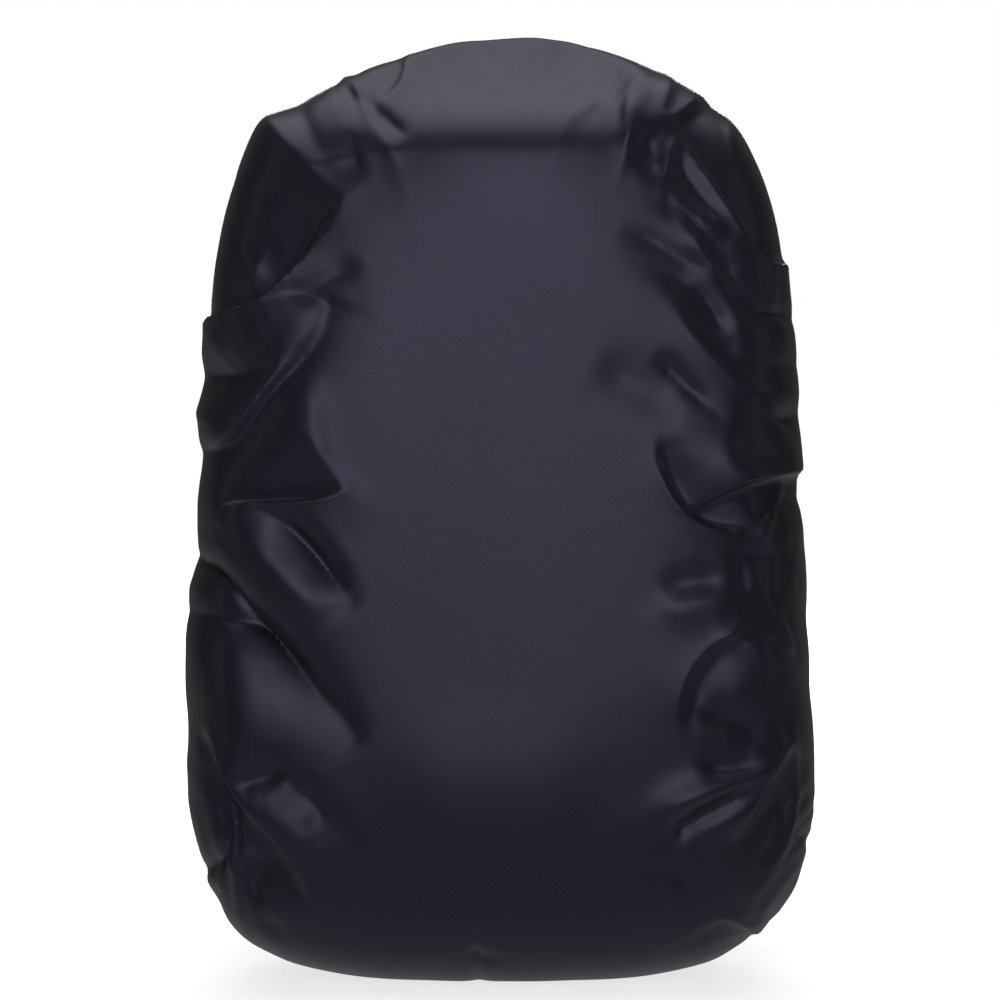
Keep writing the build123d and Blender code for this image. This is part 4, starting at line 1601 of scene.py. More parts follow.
        # cloth that was sewn slack puckers across its seams and creases between them
        rise += 0.0011 * (creases(points, 13) - 1.4) * smoothstep(gap / 0.03)
        rise += 0.0011 * lumps(points * (1, 0.4, 1), 62) * np.exp(-gap / 0.016)
        rise -= 0.0010 * (np.abs(y - self.zip_middle) < 0.0062) * (z > self.zip_end)
        rise = np.where(y > 0.088, np.minimum(rise, 0), rise)
        points = points + out * rise[..., None]
        points[..., 1] = np.minimum(points[..., 1], self.back_face - 0.0005)
        return points

    def build(self) -> None:
        """Model the bag's body and its fittings."""
        points = self.shell()
        skin = face_outwards(net("bag_skin", points, around=True))
        # what lies beyond each plane, a place and a direction, is cut away
        behind_front, above_base = ((0, self.front_seam, 0), AHEAD), ((0, 0, self.base_seam), (0, 0, -1))
        behind_zip, before_back = ((0, self.zip_front, 0), AHEAD), ((0, self.back_seam, 0), OUT)
        cuts = {
            "front_panel": [((0, self.front_seam, 0), OUT)],
            "gusset_front": [behind_front, ((0, self.zip_front, 0), OUT), above_base],
            "base_panel": [behind_front, before_back, ((0, 0, self.base_seam), (0, 0, 1))],
            "gusset_rear": [behind_zip, before_back, above_base],
            "main_zip_tape": [behind_zip, ((0, self.zip_rear, 0), OUT), ((0, 0, self.zip_end), (0, 0, -1))],
        }
        finish = {"base_panel": (Finish.BASE, "base_cloth"), "main_zip_tape": (Finish.ZIP_TAPE, "zip_tape")}
        for node, planes in cuts.items():
            panel = self.panel(skin, node, planes)
            cloth, slot = finish.get(node, (Finish.SHELL, "bag_cloth"))
            settle(panel, "bag", cloth, slot, node)
        bpy.data.objects.remove(skin)
        self.load(points)
        self.piping()
        self.back_panel()
        self.main_zip()
        self.pocket()

    def panel(self, skin: Piece, node: str, planes: list) -> Piece:
        """Cut one panel out of the skin and give its cloth a thickness.

        Args:
            skin: The whole skin.
            node: Name of the panel.
            planes: Points and directions of the planes; what lies beyond each is cleared.

        Returns:
            The panel.
        """
        piece = linked(f"{node}_cloth", skin.data.copy())
        # the zip's tape takes the rear gusset's front strip above the zip's ends
        strip = [((0, self.zip_rear, 0), OUT), ((0, 0, self.zip_end), (0, 0, 1))] if node == "gusset_rear" else []
        with edited(piece):
            for k, (spot, way) in enumerate(planes + strip):
                bpy.ops.mesh.select_all(action="SELECT")
                bpy.ops.mesh.bisect(plane_co=spot, plane_no=way, clear_outer=k < len(planes))
        if strip:
            work = bmesh.new()
            work.from_mesh(piece.data)
            middles = [(face, face.calc_center_median()) for face in work.faces]
            taken = [face for face, at in middles if at.y < self.zip_rear and at.z > self.zip_end]
            bmesh.ops.delete(work, geom=taken, context="FACES")
            work.to_mesh(piece.data)
            work.free()
        thick = piece.modifiers.new("cloth", "SOLIDIFY")
        thick.thickness, thick.offset = self.cloth, -1
        bpy.ops.object.modifier_apply(modifier="cloth")
        bpy.ops.object.shade_smooth_by_angle(angle=math.radians(50))
        return piece

    def load(self, points: Array) -> None:
        """Fill the bag with rolled clothes, a little smaller than its skin.

        Args:
            points: The skin's net.
        """
        inner = points[::2, ::2] - np.sign(points[::2, ::2] - MIDDLE) * 0.0052
        inner[..., 1] = np.minimum(inner[..., 1], 0.0880)
        inner = inner - np.sign(inner - MIDDLE) * 0.0016 * (1 + lumps(inner * (14, 14, 26)))[..., None]
        piece = face_outwards(net("packed_clothes", inner, around=True))
        settle(piece, "bag", Finish.LOAD, "load_cloth", "packed_load")

    def piping(self) -> None:
        """Lay piping cord along the seams, and a stitch row beside it."""
        for name, y, thick in (
            ("front_seam_piping", self.front_seam, 0.0038), ("back_seam_piping", self.back_seam, 0.0042),
        ):
            path = eased(even(self.seam(y), 0.004, closed=True), 6, closed=True)
            out = spokes(path)
            cord = sweep(name, path - out * 0.0006, out, profile(thick, thick, count=10), closed=True)
            settle(cord, "bag", Finish.BINDING, "bag_cloth")
        rows = []
        for y, low, sunk in (
            (self.front_seam + 0.0048, 0.03, 0.0006), (self.back_seam - 0.0048, 0.03, 0.0006),
            (self.zip_front - 0.003, self.zip_end, 0.0009), (self.zip_rear + 0.003, self.zip_end, 0.0009),
        ):
            row = even(self.seam(y, low), 0.004)
            out = spokes(row)
            rows.append((eased(row, 4) - out * sunk, out))
        settle(stitch_line("body_topstitch", rows), "bag", Finish.THREAD, "bag_cloth")

    def back_panel(self) -> None:
        """Model the foam back panel, covered in mesh, with an air channel between its pads."""
        edge = eased(even(self.seam(self.back_seam + 0.003), 0.0032, closed=True), 4, closed=True)
        middle = np.array((0, 0, 0.25))
        share = np.concatenate([np.linspace(0, 0.955, 74), 1 - 0.045 * np.cos(np.linspace(0, math.pi / 2, 9))[1:]])
        # the face, its rounded rim, and then the flat underside
        rises = 0.0925 + 0.0075 * np.sqrt(np.maximum(0, 1 - (np.maximum(0, share - 0.955) / 0.045) ** 2))
        spread = np.concatenate([share, (0.97, 0.5, 0.0)])[:, None, None]
        points = middle + (edge - middle) * spread
        points[..., 1] = np.concatenate([rises, (0.0922, 0.0922, 0.0922)])[:, None]
        x, z = points[:74, :, 0], points[:74, :, 2]
        channel = np.exp(-((x / 0.011) ** 4)) * smoothstep((z - 0.115) / 0.02) * smoothstep((0.395 - z) / 0.02)
        points[:74, :, 1] -= 0.0022 * channel
        rim = share[:74][:, None]
        points[:74, :, 1] -= 0.0012 * np.exp(-(((rim - 0.90) / 0.008) ** 2))
        dimple = np.cos(x * 210) * np.cos(z * 210)
        points[:74, :, 1] -= 0.0005 * smoothstep((dimple - 0.5) / 0.4) * (rim < 0.88)
        piece = face_outwards(net("back_panel_foam", points, around=True))
        settle(piece, "bag", Finish.MESH, "bag_cloth", "back_panel")
        row = eased(even(middle + (edge - middle) * 0.90, 0.004, closed=True), 2, closed=True)
        row[:, 1] = self.back_face - 0.0010
        line = stitch_line("back_panel_topstitch", [(np.concatenate([row, row[:1]]), OUT)])
        settle(line, "bag", Finish.THREAD, "bag_cloth")

    def main_zip(self) -> None:
        """Model the main zip's coil: interlocked nylon turns along the tape."""
        row = even(eased(even(self.seam(self.zip_middle, self.zip_end), 0.004), 4), 0.0026)
        settle(self.coil("main_zip_teeth", row, spokes(row)), "bag", Finish.COIL, "zip_coil", "main_zip_coil")

    @staticmethod
    def coil(name: str, row: Array, out: Array) -> Piece:
        """Set zip teeth along a row, slanting left and right by turns.

        Args:
            name: Name of the piece.
            row: Place of each tooth.
            out: Outward directions.

        Returns:
            The teeth.
        """
        ahead, across, lift = directions(row, out, False)
        flip = np.where(np.arange(len(row)) % 2, 0.16, -0.16)[:, None]
        lean = across + ahead * flip
        bpy.ops.object.select_all(action="DESELECT")
        bpy.ops.mesh.primitive_uv_sphere_add(segments=8, ring_count=4, radius=0.5)
        seed = bpy.context.object
        bpy.ops.transform.resize(value=(0.0021, 0.0046, 0.0026))
        bpy.ops.object.transform_apply(location=True, rotation=True, scale=True)
        return copies(name, seed, row + lift * 0.0001 + across * flip * 0.002, np.stack([ahead, lean, lift], 1))

    def pocket(self) -> None:
        """Model the bellows pocket on the front, with its zip and piping."""
        middle_z = (self.pocket_low + self.pocket_high) / 2
        high = (self.pocket_high - self.pocket_low) / 2
        turn = np.linspace(0, math.tau, 300, endpoint=False)
        reach = self.rounded_reach(turn, self.pocket_half, high, self.pocket_corner)
        share = 1 - (1 - np.linspace(0, 1, 84)) ** 1.35
        s, a = share[:, None], turn[None]
        x, z = s * reach * np.cos(a), middle_z + s * reach * np.sin(a)
        base = self.front_y(x, z)
        deep = self.pocket_depth * np.maximum(0, 1 - s**14) ** 0.5 + 0 * x
        crease = creases(np.stack([x * 16, 0 * x, z * 16], 2))
        calm = np.exp(-(((z - self.pocket_zip_z) / 0.014) ** 4))
        deep += 0.0012 * (crease - 1.5) * (1 - calm) * smoothstep(1 - s**6)
        deep += 0.0006 * np.sin(a * 46) * np.exp(-(((s - 0.97) / 0.03) ** 2))
        deep -= 0.0010 * np.exp(-(((z - self.pocket_zip_z) / 0.0042) ** 4)) * (np.abs(x) < self.pocket_zip_half)
        points = np.stack([x, base - deep, z], 2)
        tuck = np.stack([x[-1], base[-1] + 0.001, z[-1]], 1)
        back = np.repeat(tuck.mean(0)[None], len(turn), 0)
        back[:, 1] = base[0, 0] + 0.001
        points = np.concatenate([points, tuck[None], ((tuck + back) / 2)[None], back[None]])
        piece = face_outwards(net("front_pocket_cloth", points, around=True))
        settle(piece, "bag", Finish.SHELL, "bag_cloth", "front_pocket")
        rows, stitches = [], []
        for s_at, lift in ((0.962, 0.0002), (0.90, 0.0004)):
            ring = np.stack([s_at * reach * np.cos(turn), 0 * turn, middle_z + s_at * reach * np.sin(turn)], 1)
            ring[:, 1] = self.front_y(ring[:, 0], ring[:, 2]) - self.pocket_depth * (1 - s_at**14) ** 0.5 - lift
            rows.append(even(ring, 0.004, closed=True))
        cord = sweep("pocket_piping", eased(rows[0], 3, True), AHEAD, profile(0.0034, 0.0034, count=10), True)
        settle(cord, "bag", Finish.BINDING, "bag_cloth")
        stitches.append((np.concatenate([rows[1], rows[1][:1]]), AHEAD))
        zip_x = np.linspace(-self.pocket_zip_half, self.pocket_zip_half, 54)
        zip_z = np.full_like(zip_x, self.pocket_zip_z)
        zip_row = np.stack([zip_x, self.front_y(zip_x, zip_z) - self.pocket_depth - 0.0003, zip_z], 1)
        teeth = self.coil("pocket_zip_teeth", zip_row, np.array(AHEAD))
        settle(teeth, "bag", Finish.COIL, "zip_coil", "pocket_zip")
        tape = sweep("pocket_zip_tape", zip_row + (0, 0.0011, 0), AHEAD, profile(0.017, 0.0012, 8, 16))
        settle(tape, "bag", Finish.ZIP_TAPE, "zip_tape")
        for off in (-0.0105, 0.0105):
            stitches.append((zip_row + (0, -0.0002, off), AHEAD))
        settle(stitch_line("pocket_topstitch", stitches), "bag", Finish.THREAD, "bag_cloth")

    def front_y(self, x: Array, z: Array) -> Array:
        """Find the bag's front face.

        Args:
            x: Places across.
            z: Heights above the floor.

        Returns:
            The face's Y at each place.
        """
        h = (z - self.bottom) * self.height / (self.height - self.bottom - self.top)
        fore, _aft = self.corners(h)
        past = np.clip(np.abs(x) - (self.half_at(h) - fore), 0, fore)
        return -self.front_at(h) + fore - np.sqrt(fore**2 - past**2)

    @staticmethod
    def rounded_reach(turn: Array, half: float, high: float, corner: float) -> Array:
        """Find how far a rounded rectangle's edge lies from its middle.

        Args:
            turn: Directions in the XZ plane.
            half: Half its width.
            high: Half its height.
            corner: Radius of its corners.

        Returns:
            The distance in each direction.
        """

        def inside(x: Array, z: Array) -> Array:
            """Tell whether places lie within the rounded rectangle.

            Args:
                x: How far they are across.
                z: How far they are above the middle.

            Returns:
                True for each place within.
            """
            x, z = np.abs(x), np.abs(z)
            past = np.hypot(np.maximum(x - half + corner, 0), np.maximum(z - high + corner, 0))
            return (x < half) & (z < high) & (past < corner)

        return reach_of(inside, turn, half + high)


# ---------------------------------------------------------------- pads
@dataclass
class Padding:
    """Foam pads in air mesh, blown up from their solids and then quilted."""

    thin: float = 0.86  # share of its thickness that a pad starts with
    cap: float = 0.0035  # farthest that blowing up may move a point
    voxel: float = 0.004
    channel_deep: float = 0.0030
    channel_wide: float = 0.0028
    stitch_y: float = 0.1086

    def plump(self, node: str, name: str) -> Piece:
        """Swell a pad like a real stuffed one.

        Args:
            node: The solid that it starts from.
            name: Name of the new piece.

        Returns:
            The pad.
        """
        piece = linked(name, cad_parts[node].data.copy())
        with edited(piece):
            bpy.ops.mesh.remove_doubles(threshold=1e-5)
        for vertex in piece.data.vertices:
            vertex.co.y = 0.1 + (vertex.co.y - 0.1) * self.thin
        net_it = piece.modifiers.new("net", "REMESH")
        net_it.mode, net_it.voxel_size = "VOXEL", self.voxel
        bpy.ops.object.modifier_apply(modifier="net")
        count = len(piece.data.vertices)
        start = np.empty(count * 3, np.float32)
        piece.data.vertices.foreach_get("co", start)
        cloth = piece.modifiers.new("blow", "CLOTH")
        cloth.settings.use_pressure = True
        cloth.settings.uniform_pressure_force = 4.0
        cloth.settings.effector_weights.gravity = 0.0
        cloth.point_cache.frame_end = 20
        for step in range(1, 21):
            bpy.context.scene.frame_set(step)
        bpy.ops.object.modifier_apply(modifier="blow")
        bpy.context.scene.frame_set(1)
        blown = np.empty(count * 3, np.float32)
        piece.data.vertices.foreach_get("co", blown)
        move = (blown - start).reshape(-1, 3)
        size = np.linalg.norm(move, axis=1, keepdims=True)
        move *= np.minimum(1, self.cap / np.maximum(size, 1e-9))
        made = start.reshape(-1, 3) + move
        made[:, 1] = np.maximum(made[:, 1], 0.0999)
        piece.data.vertices.foreach_set("co", made.reshape(-1))
        finer = piece.modifiers.new("finer", "SUBSURF")
        finer.levels = finer.render_levels = 1
        bpy.ops.object.modifier_apply(modifier="finer")
        bpy.ops.object.shade_smooth()
        return piece

    def quilt(self, piece: Piece, lines: list[float], half: float, middle: float) -> None:
        """Press sewn channels across a pad.

        Args:
            piece: The pad.
            lines: Heights of the channels.
            half: Half length of each channel.
            middle: Where its middle lies, across.
        """
        for vertex in piece.data.vertices:
            if vertex.co.y > 0.103:
                for z in lines:
                    near = math.exp(-(((vertex.co.z - z) / self.channel_wide) ** 2))
                    vertex.co.y -= self.channel_deep * near * (abs(vertex.co.x - middle) < half)

    def build(self) -> None:
        """Model the two back pads and the lumbar pad."""
        rows = []
        back_lines = [0.118 + 0.268 * k / 6 for k in range(1, 6)]
        # each pad: name, middle, channel heights and half length, half width, low and high ends
        for node, x, lines, half, wide, low, high in (
            ("back_pad_left", -0.056, back_lines, 0.027, 0.036, 0.118, 0.386),
            ("back_pad_right", 0.056, back_lines, 0.027, 0.036, 0.118, 0.386),
            ("lumbar_pad", 0.0, [0.084], 0.058, 0.070, 0.060, 0.108),
        ):
            pad = self.plump(node, f"{node}_mesh")
            self.quilt(pad, lines, half, x)
            settle(pad, "bag", Finish.MESH, "pad_mesh", node)
            for z in lines:
                rows.append((np.linspace((x - half, self.stitch_y, z), (x + half, self.stitch_y, z), 8), OUT))
            edge = self.edge(x - wide, x + wide, low, high, 0.016)
            bead = sweep(f"{node}_binding", edge, OUT, profile(0.0036, 0.0030, 2.6, 10), True)
            settle(bead, "bag", Finish.BINDING, "pad_mesh")
        settle(stitch_line("pad_quilting", rows), "bag", Finish.THREAD, "pad_mesh")

    @staticmethod
    def edge(left: float, right: float, low: float, high: float, corner: float) -> Array:
        """Run a closed line round a rounded rectangle on the back panel.

        Args:
            left: Its left side.
            right: Its right side.
            low: Its lower side.
            high: Its upper side.
            corner: Radius of its corners.

        Returns:
            Points about 4 mm apart.
        """
        turn = np.linspace(0, math.tau, 400, endpoint=False)
        reach = BagBody.rounded_reach(turn, (right - left) / 2, (high - low) / 2, corner)
        x, z = (left + right) / 2 + reach * np.cos(turn), (low + high) / 2 + reach * np.sin(turn)
        return even(np.stack([x, np.full_like(x, 0.1012), z], 1), 0.004, closed=True)


# ---------------------------------------------------------------- harness
@dataclass
class Harness:
    """Shoulder straps, their yoke, webbing and the chest strap on the back."""

    strap_x: float = 0.052
    lock_x: float = 0.088
    strap_y: float = 0.1165
    strap_wide: float = 0.054
    strap_thick: float = 0.0082
    turn_z: float = 0.345
    bend: float = 0.150
    turn: float = 28.36
    strap_low: float = 0.167
    upper_bar: float = 0.159
    middle_bar: float = 0.151
    sternum_z: float = 0.318
    sternum_room: float = 0.016  # stitches stop this far above and below the chest strap's middle

    def build(self) -> None:
        """Model both sides of the harness and what joins them."""
        for side, sign in (("left", -1), ("right", 1)):
            self.strap(side, sign)
            self.adjuster(side, sign)
            self.anchor(side, sign)
        self.yoke()
        self.sternum()

    def middle_line(self, sign: int) -> Array:
        """Run the strap's middle line from the yoke to its lower end.

        Args:
            sign: 1 for the right strap and -1 for the left.

        Returns:
            Evenly spaced points.
        """
        turn = np.radians(np.linspace(0, self.turn, 30))
        across, down = self.bend * (1 - np.cos(turn)), self.bend * np.sin(turn)
        first = np.stack([self.strap_x + across, self.turn_z - down], 1)
        second = 2 * first[-1] - first[::-1]
        flat = np.concatenate([[(self.strap_x, 0.372)], first, second[1:], [(second[-1][0], self.strap_low)]])
        line = np.column_stack([flat[:, 0], np.full(len(flat), self.strap_y), flat[:, 1]])
        root = np.array([
            (self.strap_x, y, z) for y, z in ((0.1052, 0.4005), (0.1085, 0.396), (0.1125, 0.390), (0.1152, 0.383))
        ])
        return eased(even(np.concatenate([root, line]) * (sign, 1, 1), 0.003), 6)

    def strap(self, side: str, sign: int) -> None:
        """Model one padded strap with its bound edges, face webbing and lock loop.

        Args:
            side: "left" or "right".
            sign: 1 for the right and -1 for the left.
        """
        line = self.middle_line(sign)
        gone = np.linspace(0, 1, len(line))
        widths = np.where(gone > 0.93, 1 - 0.5 * ((gone - 0.93) / 0.07) ** 2, 1.0)
        depths = 0.55 + 0.45 * smoothstep(gone / 0.09) - 0.35 * smoothstep((gone - 0.93) / 0.07)
        depths += 0.04 * np.sin(np.arange(len(line)) * 0.42)
        _ahead, across, lift = directions(line, np.array((0, 1.0, 0)), False)
        pad = sweep(
            f"shoulder_strap_{side}_pad", line, OUT,
            profile(self.strap_wide - 0.003, self.strap_thick, 3.4, 44), widths=widths, depths=depths,
        )
        settle(pad, "harness", Finish.MESH, "strap_cloth", f"shoulder_strap_{side}")
        half = (self.strap_wide / 2 - 0.0016) * widths[:, None]
        loop = np.concatenate([line + across * half, line[::-1] - across[::-1] * half[::-1]])
        loop = eased(even(loop, 0.003, closed=True), 3, closed=True)
        bead = sweep(f"shoulder_strap_{side}_binding", loop, OUT, profile(0.0058, 0.0062, 3, 14), True)
        settle(bead, "harness", Finish.BINDING, "strap_cloth")
        seams = eased(even(loop - (loop - self.nearest(loop, line)) * 0.16, 0.003, closed=True), 3, closed=True)
        rows = []
        seams = np.roll(seams, -int(np.argmax(seams[:, 2] > self.sternum_z + self.sternum_room)), 0)
        under = np.abs(seams[:, 2] - self.sternum_z) < self.sternum_room
        for part in np.split(seams, np.flatnonzero(np.diff(under)) + 1):
            if len(part) > 4 and abs(part[len(part) // 2, 2] - self.sternum_z) > self.sternum_room:
                rows.append((part + (0, 0.0030, 0), OUT))
        face = (line + lift * 0.0035)[12:-3]
        bar_y, bar_z = self.strap_y, self.upper_bar
        x = sign * self.lock_x
        turn = np.radians(np.linspace(20, -200, 16))
        hoop = np.stack([0 * turn + x, bar_y + 0.0026 * np.cos(turn), bar_z + 0.0026 * np.sin(turn)], 1)
        inner = np.array([
            (x, bar_y - 0.0030, bar_z + 0.004), (x, bar_y - 0.0042, 0.168), (x, bar_y - 0.0044, 0.178)
        ])
        path = eased(even(np.concatenate([face[:-4], hoop, inner]), 0.0012), 5)
        outward = directions(path, np.array((sign * 1.0, 0, 0)), False)[1]
        web = sweep(f"shoulder_strap_{side}_web", path, outward * -1, profile(0.020, 0.0011, 7, 20))
        settle(web, "harness", Finish.WEBBING, "webbing")
        short = even(face[2:-8], 0.003)
        wide = directions(short, np.array((0, 1.0, 0)), False)[1]
        above = short[:, 2] > self.sternum_z + self.sternum_room
        below = short[:, 2] < self.sternum_z - self.sternum_room
        for off in (-0.0085, 0.0085):
            for part in (above, below):
                rows.append(((short + wide * off + (0, 0.0005, 0))[part], OUT))
        rows += box_cross((sign * self.lock_x, self.strap_y + 0.0044, 0.182), 0.015, 0.014)
        settle(stitch_line(f"shoulder_strap_{side}_stitches", rows), "harness", Finish.THREAD, "strap_cloth")

    @staticmethod
    def nearest(points: Array, line: Array) -> Array:
        """Find the nearest point of a line to each point.

        Args:
            points: The points.
            line: The line's points.

        Returns:
            One of the line's points for each point.
        """
        tree = KDTree(len(line))
        for k, spot in enumerate(line):
            tree.insert(spot, k)
        tree.balance()
        return np.array([line[tree.find(p)[1]] for p in points])

    def adjuster(self, side: str, sign: int) -> None:
        """Run webbing from the anchor up round the lock's middle bar, with a hanging tail.

        Args:
            side: "left" or "right".
            sign: 1 for the right and -1 for the left.
        """
        bar, wrap = self.middle_bar, 0.0028
        inner, outer = self.strap_y - wrap, self.strap_y + wrap
        turn = np.radians(np.linspace(180, 0, 14))
        flat = [(0.1034, 0.060), (0.1034, 0.078), (0.1062, 0.096), (0.1100, 0.113), (inner, 0.132)]
        flat += [(self.strap_y + wrap * math.cos(t), bar + wrap * math.sin(t)) for t in turn]
        flat += [(outer, 0.125), (outer + 0.0006, 0.105), (outer + 0.0002, 0.092)]
        path = np.array([(sign * self.lock_x, y, z) for y, z in flat])
        path = eased(even(path, 0.0014), 5)
        across = np.broadcast_to((1.0, 0, 0), path.shape)
        ahead = np.gradient(path, axis=0)
        outward = np.cross(ahead / np.linalg.norm(ahead, axis=1, keepdims=True), across)
        free = len(path) - int(np.argmax(path[::-1, 2] > bar - 0.006)) - 1
        # the web runs between the bodies as far as the bar and is tied to neither, and its tail hangs from there
        web = sweep(f"adjuster_{side}_web", path[:free + 1], outward[:free + 1], profile(0.0198, 0.0015, 7, 20))
        settle(web, "", Finish.WEBBING, "webbing", f"adjuster_web_{side}")
        tail = sweep(f"adjuster_{side}_tail", path[free:], outward[free:], profile(0.0198, 0.0015, 7, 20))
        settle(tail, "harness", Finish.WEBBING, "webbing")
        x = sign * self.lock_x
        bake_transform(web)
        low, high = (x - 0.0100, outer - 0.0006, 0.0915), (x + 0.0100, outer + 0.0024, 0.1015)
        hem = slab(f"adjuster_{side}_tail_hem", low, high, 0.0008)
        settle(hem, "harness", Finish.WEBBING, "webbing")
        sewn_y = outer + 0.0025
        rows = [(np.linspace((x - 0.0085, sewn_y, z), (x + 0.0085, sewn_y, z), 6), OUT) for z in (0.0945, 0.0985)]
        settle(stitch_line(f"adjuster_{side}_stitches", rows), "harness", Finish.THREAD, "webbing")

    def anchor(self, side: str, sign: int) -> None:
        """Sew the patch that holds the adjuster webbing.

        Args:
            side: "left" or "right".
            sign: 1 for the right and -1 for the left.
        """
        x = sign * self.lock_x
        patch = slab(f"web_anchor_{side}_patch", (x - 0.0130, 0.0999, 0.058), (x + 0.0130, 0.1024, 0.076), 0.0009)
        settle(patch, "bag", Finish.WEBBING, "webbing", f"web_anchor_{side}")
        rows = box_cross((x, 0.1043, 0.0665), 0.015, 0.010)
        for at in (x - 0.0118, x + 0.0118):
            rows.append((np.linspace((at, 0.1025, 0.0595), (at, 0.1025, 0.0745), 6), OUT))
        settle(stitch_line(f"web_anchor_{side}_stitches", rows), "bag", Finish.THREAD, "webbing")

    def yoke(self) -> None:
        """Sew the band that takes the straps' upper ends."""
        path = np.linspace((-0.0778, 0.1024, 0.410), (0.0778, 0.1024, 0.410), 60)
        band = sweep("strap_yoke_band", path, OUT, profile(0.0140, 0.0046, 5, 24))
        settle(band, "bag", Finish.SHELL, "bag_cloth", "strap_yoke")
        rows = [(path[2:-2] + (0, 0.0024, z), OUT) for z in (-0.0048, 0.0048)]
        for x in (-0.052, 0.052):
            rows += box_cross((x, 0.1049, 0.410), 0.040, 0.0066)
        settle(stitch_line("strap_yoke_stitches", rows), "bag", Finish.THREAD, "bag_cloth")

    def sternum(self) -> None:
        """Thread the chest strap's webbing to both sides of its buckle."""
        y = self.strap_y + 0.0054
        for side, sign, body in (("left", -1, "harness"), ("right", 1, "buckle_plug")):
            x = np.linspace(0.0228, 0.0715, 34)
            wave = 0.0002 * np.sin(x * 260)
            path = np.stack([sign * x, y + wave, np.full_like(x, self.sternum_z)], 1)
            web = sweep(f"sternum_{side}_web", path, OUT, profile(0.0196, 0.0013, 7, 20))
            settle(web, body, Finish.WEBBING, "webbing", f"sternum_web_{side}")
            rows = [(np.linspace((sign * k, y + 0.0009, self.sternum_z - 0.008),
                                 (sign * k, y + 0.0009, self.sternum_z + 0.008), 6), OUT)
                    for k in (0.0265, 0.0295, 0.0665, 0.0695)]
            settle(stitch_line(f"sternum_{side}_stitches", rows), body, Finish.THREAD, "webbing")


# ---------------------------------------------------------------- sewn loops and hardware
class Fittings:
    """Webbing loops of the handle and the tie rings, and the finish of every hard part."""

    HARD = {
        Finish.RUBBER: ("hem_elastic",),
        Finish.POLYTHENE: ("frame_sheet",),
        Finish.ZINC: ("zip_slider", "zip_pull", "pocket_slider", "pocket_pull"),
        Finish.STEEL: ("handle_wire", "tie_ring_upper_left", "tie_ring_upper_right", "tie_ring_lower_left",
                       "tie_ring_lower_right"),
        Finish.GRIP: ("handle_grip",),
        Finish.ACETAL: ("ladder_lock_left", "ladder_lock_right", "sternum_socket", "sternum_plug",
                        "buckle_prong_upper", "buckle_prong_lower"),
    }

    def build(self) -> None:
        """Sew the loops and dress the hard parts."""
        for finish, nodes in self.HARD.items():
            for node in nodes:
                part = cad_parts[node]
                part.data.materials.clear()
                part.data.materials.append(dressed(finish))
        rows = []
        for level, z in (("upper", 0.332), ("lower", 0.104)):
            for side, x in (("left", -0.114), ("right", 0.114)):
                tab = self.loop(f"ring_tab_{level}_{side}_loop", x, 0.107, z, 0.0030, 0.0176, 0.0255)
                settle(tab, "bag", Finish.WEBBING, "webbing", f"ring_tab_{level}_{side}")
                rows += box_cross((x, 0.1030, z + 0.0165), 0.013, 0.013)
        left, right = (self.loop(f"handle_loop_{side}", x, 0.113, 0.448, 0.0034, 0.0156, 0.0078)
                       for side, x in (("left", -0.034), ("right", 0.034)))
        settle(left, "bag", Finish.WEBBING, "webbing")
        settle(right, "bag", Finish.WEBBING, "webbing", "handle_loops")
        settle(stitch_line("ring_tab_stitches", rows), "bag", Finish.THREAD, "webbing")

    @staticmethod
    def loop(name: str, x: float, bar_y: float, bar_z: float, wrap: float, wide: float, tall: float) -> Piece:
        """Lay webbing down the back, round a bar and back again.

        Args:
            name: Name of the piece.
            x: Its middle, across.
            bar_y: Place of the bar.
            bar_z: Height of the bar.
            wrap: Radius of the turn round the bar.
            wide: Width of the webbing.
            tall: How far it reaches up the back.

        Returns:
            The loop.
        """
        turn = np.radians(np.linspace(90, -90, 14))
        flat = [(0.1020, bar_z + tall), (0.1020, bar_z + min(tall - 0.001, wrap + 0.004))]
        flat += [(0.1030, bar_z + wrap + 0.0008)]
        flat += [(bar_y + wrap * math.cos(t), bar_z + wrap * math.sin(t)) for t in turn]
        flat += [(0.1030, bar_z - wrap), (0.1008, bar_z - wrap + 0.0016), (0.1006, bar_z + tall - 0.002)]
        path = eased(even(np.array([(x, y, z) for y, z in flat]), 0.0009), 4)
        ahead = np.gradient(path, axis=0)
        ahead /= np.linalg.norm(ahead, axis=1, keepdims=True)
        outward = np.cross(ahead, np.broadcast_to((1.0, 0, 0), path.shape))
        return sweep(name, path, outward, profile(wide, 0.0013, 7, 18))


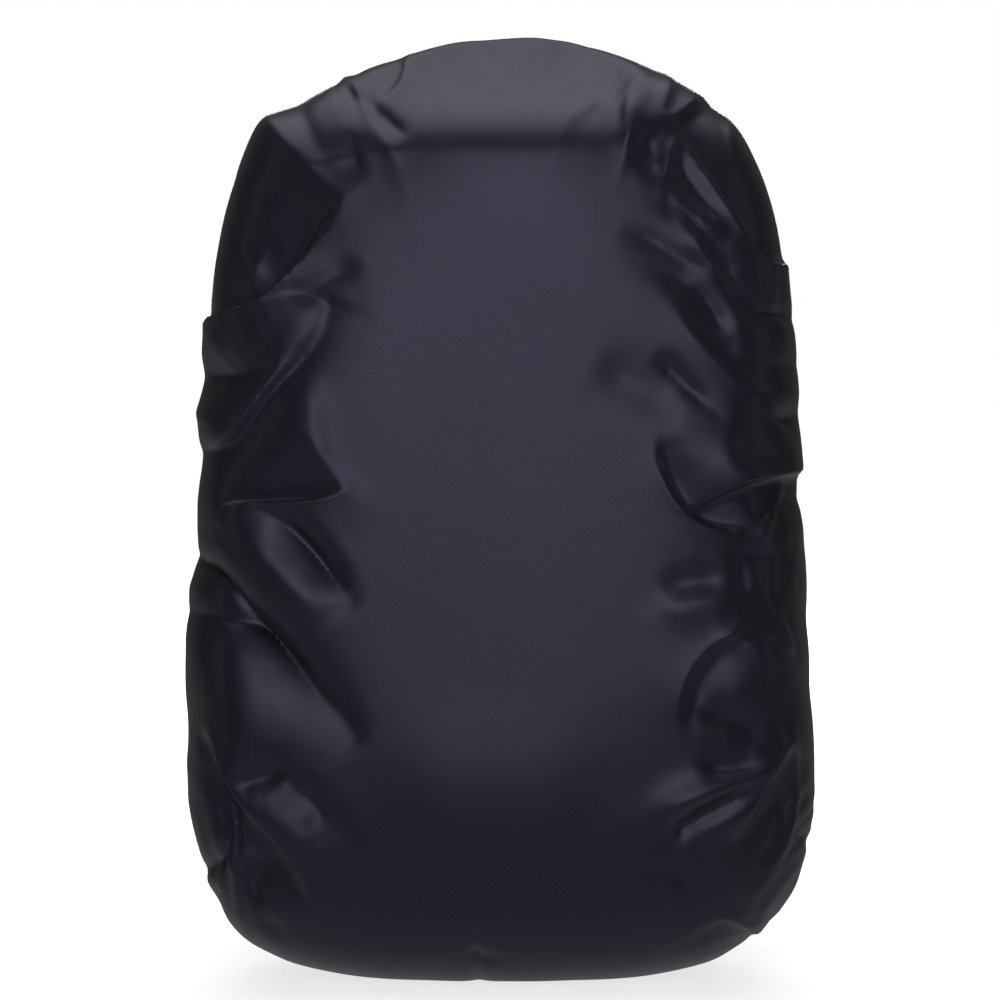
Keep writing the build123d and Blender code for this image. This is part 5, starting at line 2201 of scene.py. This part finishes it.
# ---------------------------------------------------------------- studio
@dataclass
class Studio:
    """Camera, floor and lights."""

    distance: float = 2.4
    elevation: float = 3.0
    target_z: float = 0.2627
    lens: float = 154.0

    def build(self) -> None:
        """Set up the camera, the floor and the lights."""
        self.camera()
        self.floor()
        self.lights()

    def camera(self) -> None:
        """Place the camera square in front, a little above the middle."""
        data = bpy.data.cameras.new("front_camera")
        data.lens = self.lens
        camera = linked("front_camera", data)
        rise = math.radians(self.elevation)
        camera.location = (0, -self.distance * math.cos(rise), self.target_z + self.distance * math.sin(rise))
        camera.rotation_euler = (math.radians(90) - rise, 0, 0)
        bpy.context.scene.camera = camera

    def floor(self) -> None:
        """Lay a plain pale floor."""
        bpy.ops.object.select_all(action="DESELECT")
        bpy.ops.mesh.primitive_plane_add(size=60, location=(0, 0, 0))
        floor = bpy.context.object
        floor.name = "studio_floor"
        mat = bpy.data.materials.new("matt_white_paper")
        mat.use_nodes = True
        shader = mat.node_tree.nodes["Principled BSDF"]
        # glows more with distance, so that the far floor is as white as the wall behind it
        where = add_node(mat.node_tree, "ShaderNodeTexCoord").outputs["Object"]
        far = add_node(mat.node_tree, "ShaderNodeVectorMath", {"Vector": where}, operation="LENGTH")
        glow = add_node(
            mat.node_tree, "ShaderNodeMapRange", {"Value": far.outputs["Value"]}, From_Min=0.25,
            From_Max=1.3, To_Min=0.74, To_Max=1.0,
        )
        plug(
            mat.node_tree, shader, {"Emission Strength": glow.outputs["Result"]},
            {"Base Color": linear("b4b4b6"), "Roughness": 0.9, "Emission Color": (1, 1, 1, 1)},
        )
        floor.data.materials.append(mat)
        floor.visible_glossy = False
        floor.visible_diffuse = False

    def lights(self) -> None:
        """Hang soft lights above, in front and behind, with only faint ones beside the flanks."""
        for name, place, aim, size, power in (
            ("overhead_softbox", (0, 0.2, 2.0), (0, 0.1, 0.2), (2.2, 1.8), 22),
            ("front_softbox", (0, -2.75, 1.05), (0, 0, 0.26), (1.7, 1.6), 26),
            ("left_strip", (-2.3, -0.75, 0.8), (0, 0, 0.24), (0.45, 1.5), 2.0),
            ("right_strip", (2.3, -0.75, 0.8), (0, 0, 0.24), (0.45, 1.5), 2.0),
            ("rear_softbox", (0, 2.6, 0.6), (0, 0, 0.26), (1.0, 0.8), 42),
        ):
            data = bpy.data.lights.new(name, "AREA")
            data.shape, (data.size, data.size_y), data.energy = "RECTANGLE", size, power
            lamp = linked(name, data)
            lamp.location = place
            lamp.rotation_euler = (Vector(aim) - Vector(place)).to_track_quat("-Z", "Y").to_euler()
        world = bpy.data.worlds.new("white_studio")
        bpy.context.scene.world = world
        world.use_nodes = True
        tree = world.node_tree
        sky = tree.nodes["Background"]
        sky.inputs["Color"].default_value = linear("ffffff")
        seen = add_node(tree, "ShaderNodeBackground", Color=linear("ffffff"), Strength=1.0)
        path = add_node(tree, "ShaderNodeLightPath")
        # the pale floor throws some light back up under the cover
        way = add_node(tree, "ShaderNodeTexCoord")
        apart = add_node(tree, "ShaderNodeSeparateXYZ", {"Vector": way.outputs["Generated"]})
        bounce = add_node(
            tree, "ShaderNodeMapRange", {"Value": apart.outputs["Z"]}, From_Min=-0.02, From_Max=-0.5,
            To_Min=0.05, To_Max=0.42,
        )
        plug(tree, sky, {"Strength": bounce.outputs["Result"]})
        links = {0: path.outputs["Is Camera Ray"], 1: sky.outputs[0], 2: seen.outputs[0]}
        mix = add_node(tree, "ShaderNodeMixShader", links)
        plug(tree, tree.nodes["World Output"], {"Surface": mix.outputs[0]})
        bpy.context.scene.view_settings.view_transform = "Standard"


def main() -> None:
    """Build every sub-assembly in turn and report each piece."""
    logging.basicConfig(level=logging.INFO, format="%(message)s")
    Studio().build()
    cover = RainCover()
    cloth = settle(cover.build(), "cover", Finish.COVER, "cover_cloth", "cover_shell", "cover_skirt")
    tube = settle(cover.hem(), "cover", Finish.COVER, "cover_cloth", "hem_casing")
    BagBody().build()
    Padding().build()
    Harness().build()
    Fittings().build()


if __name__ == "__main__":
    main()
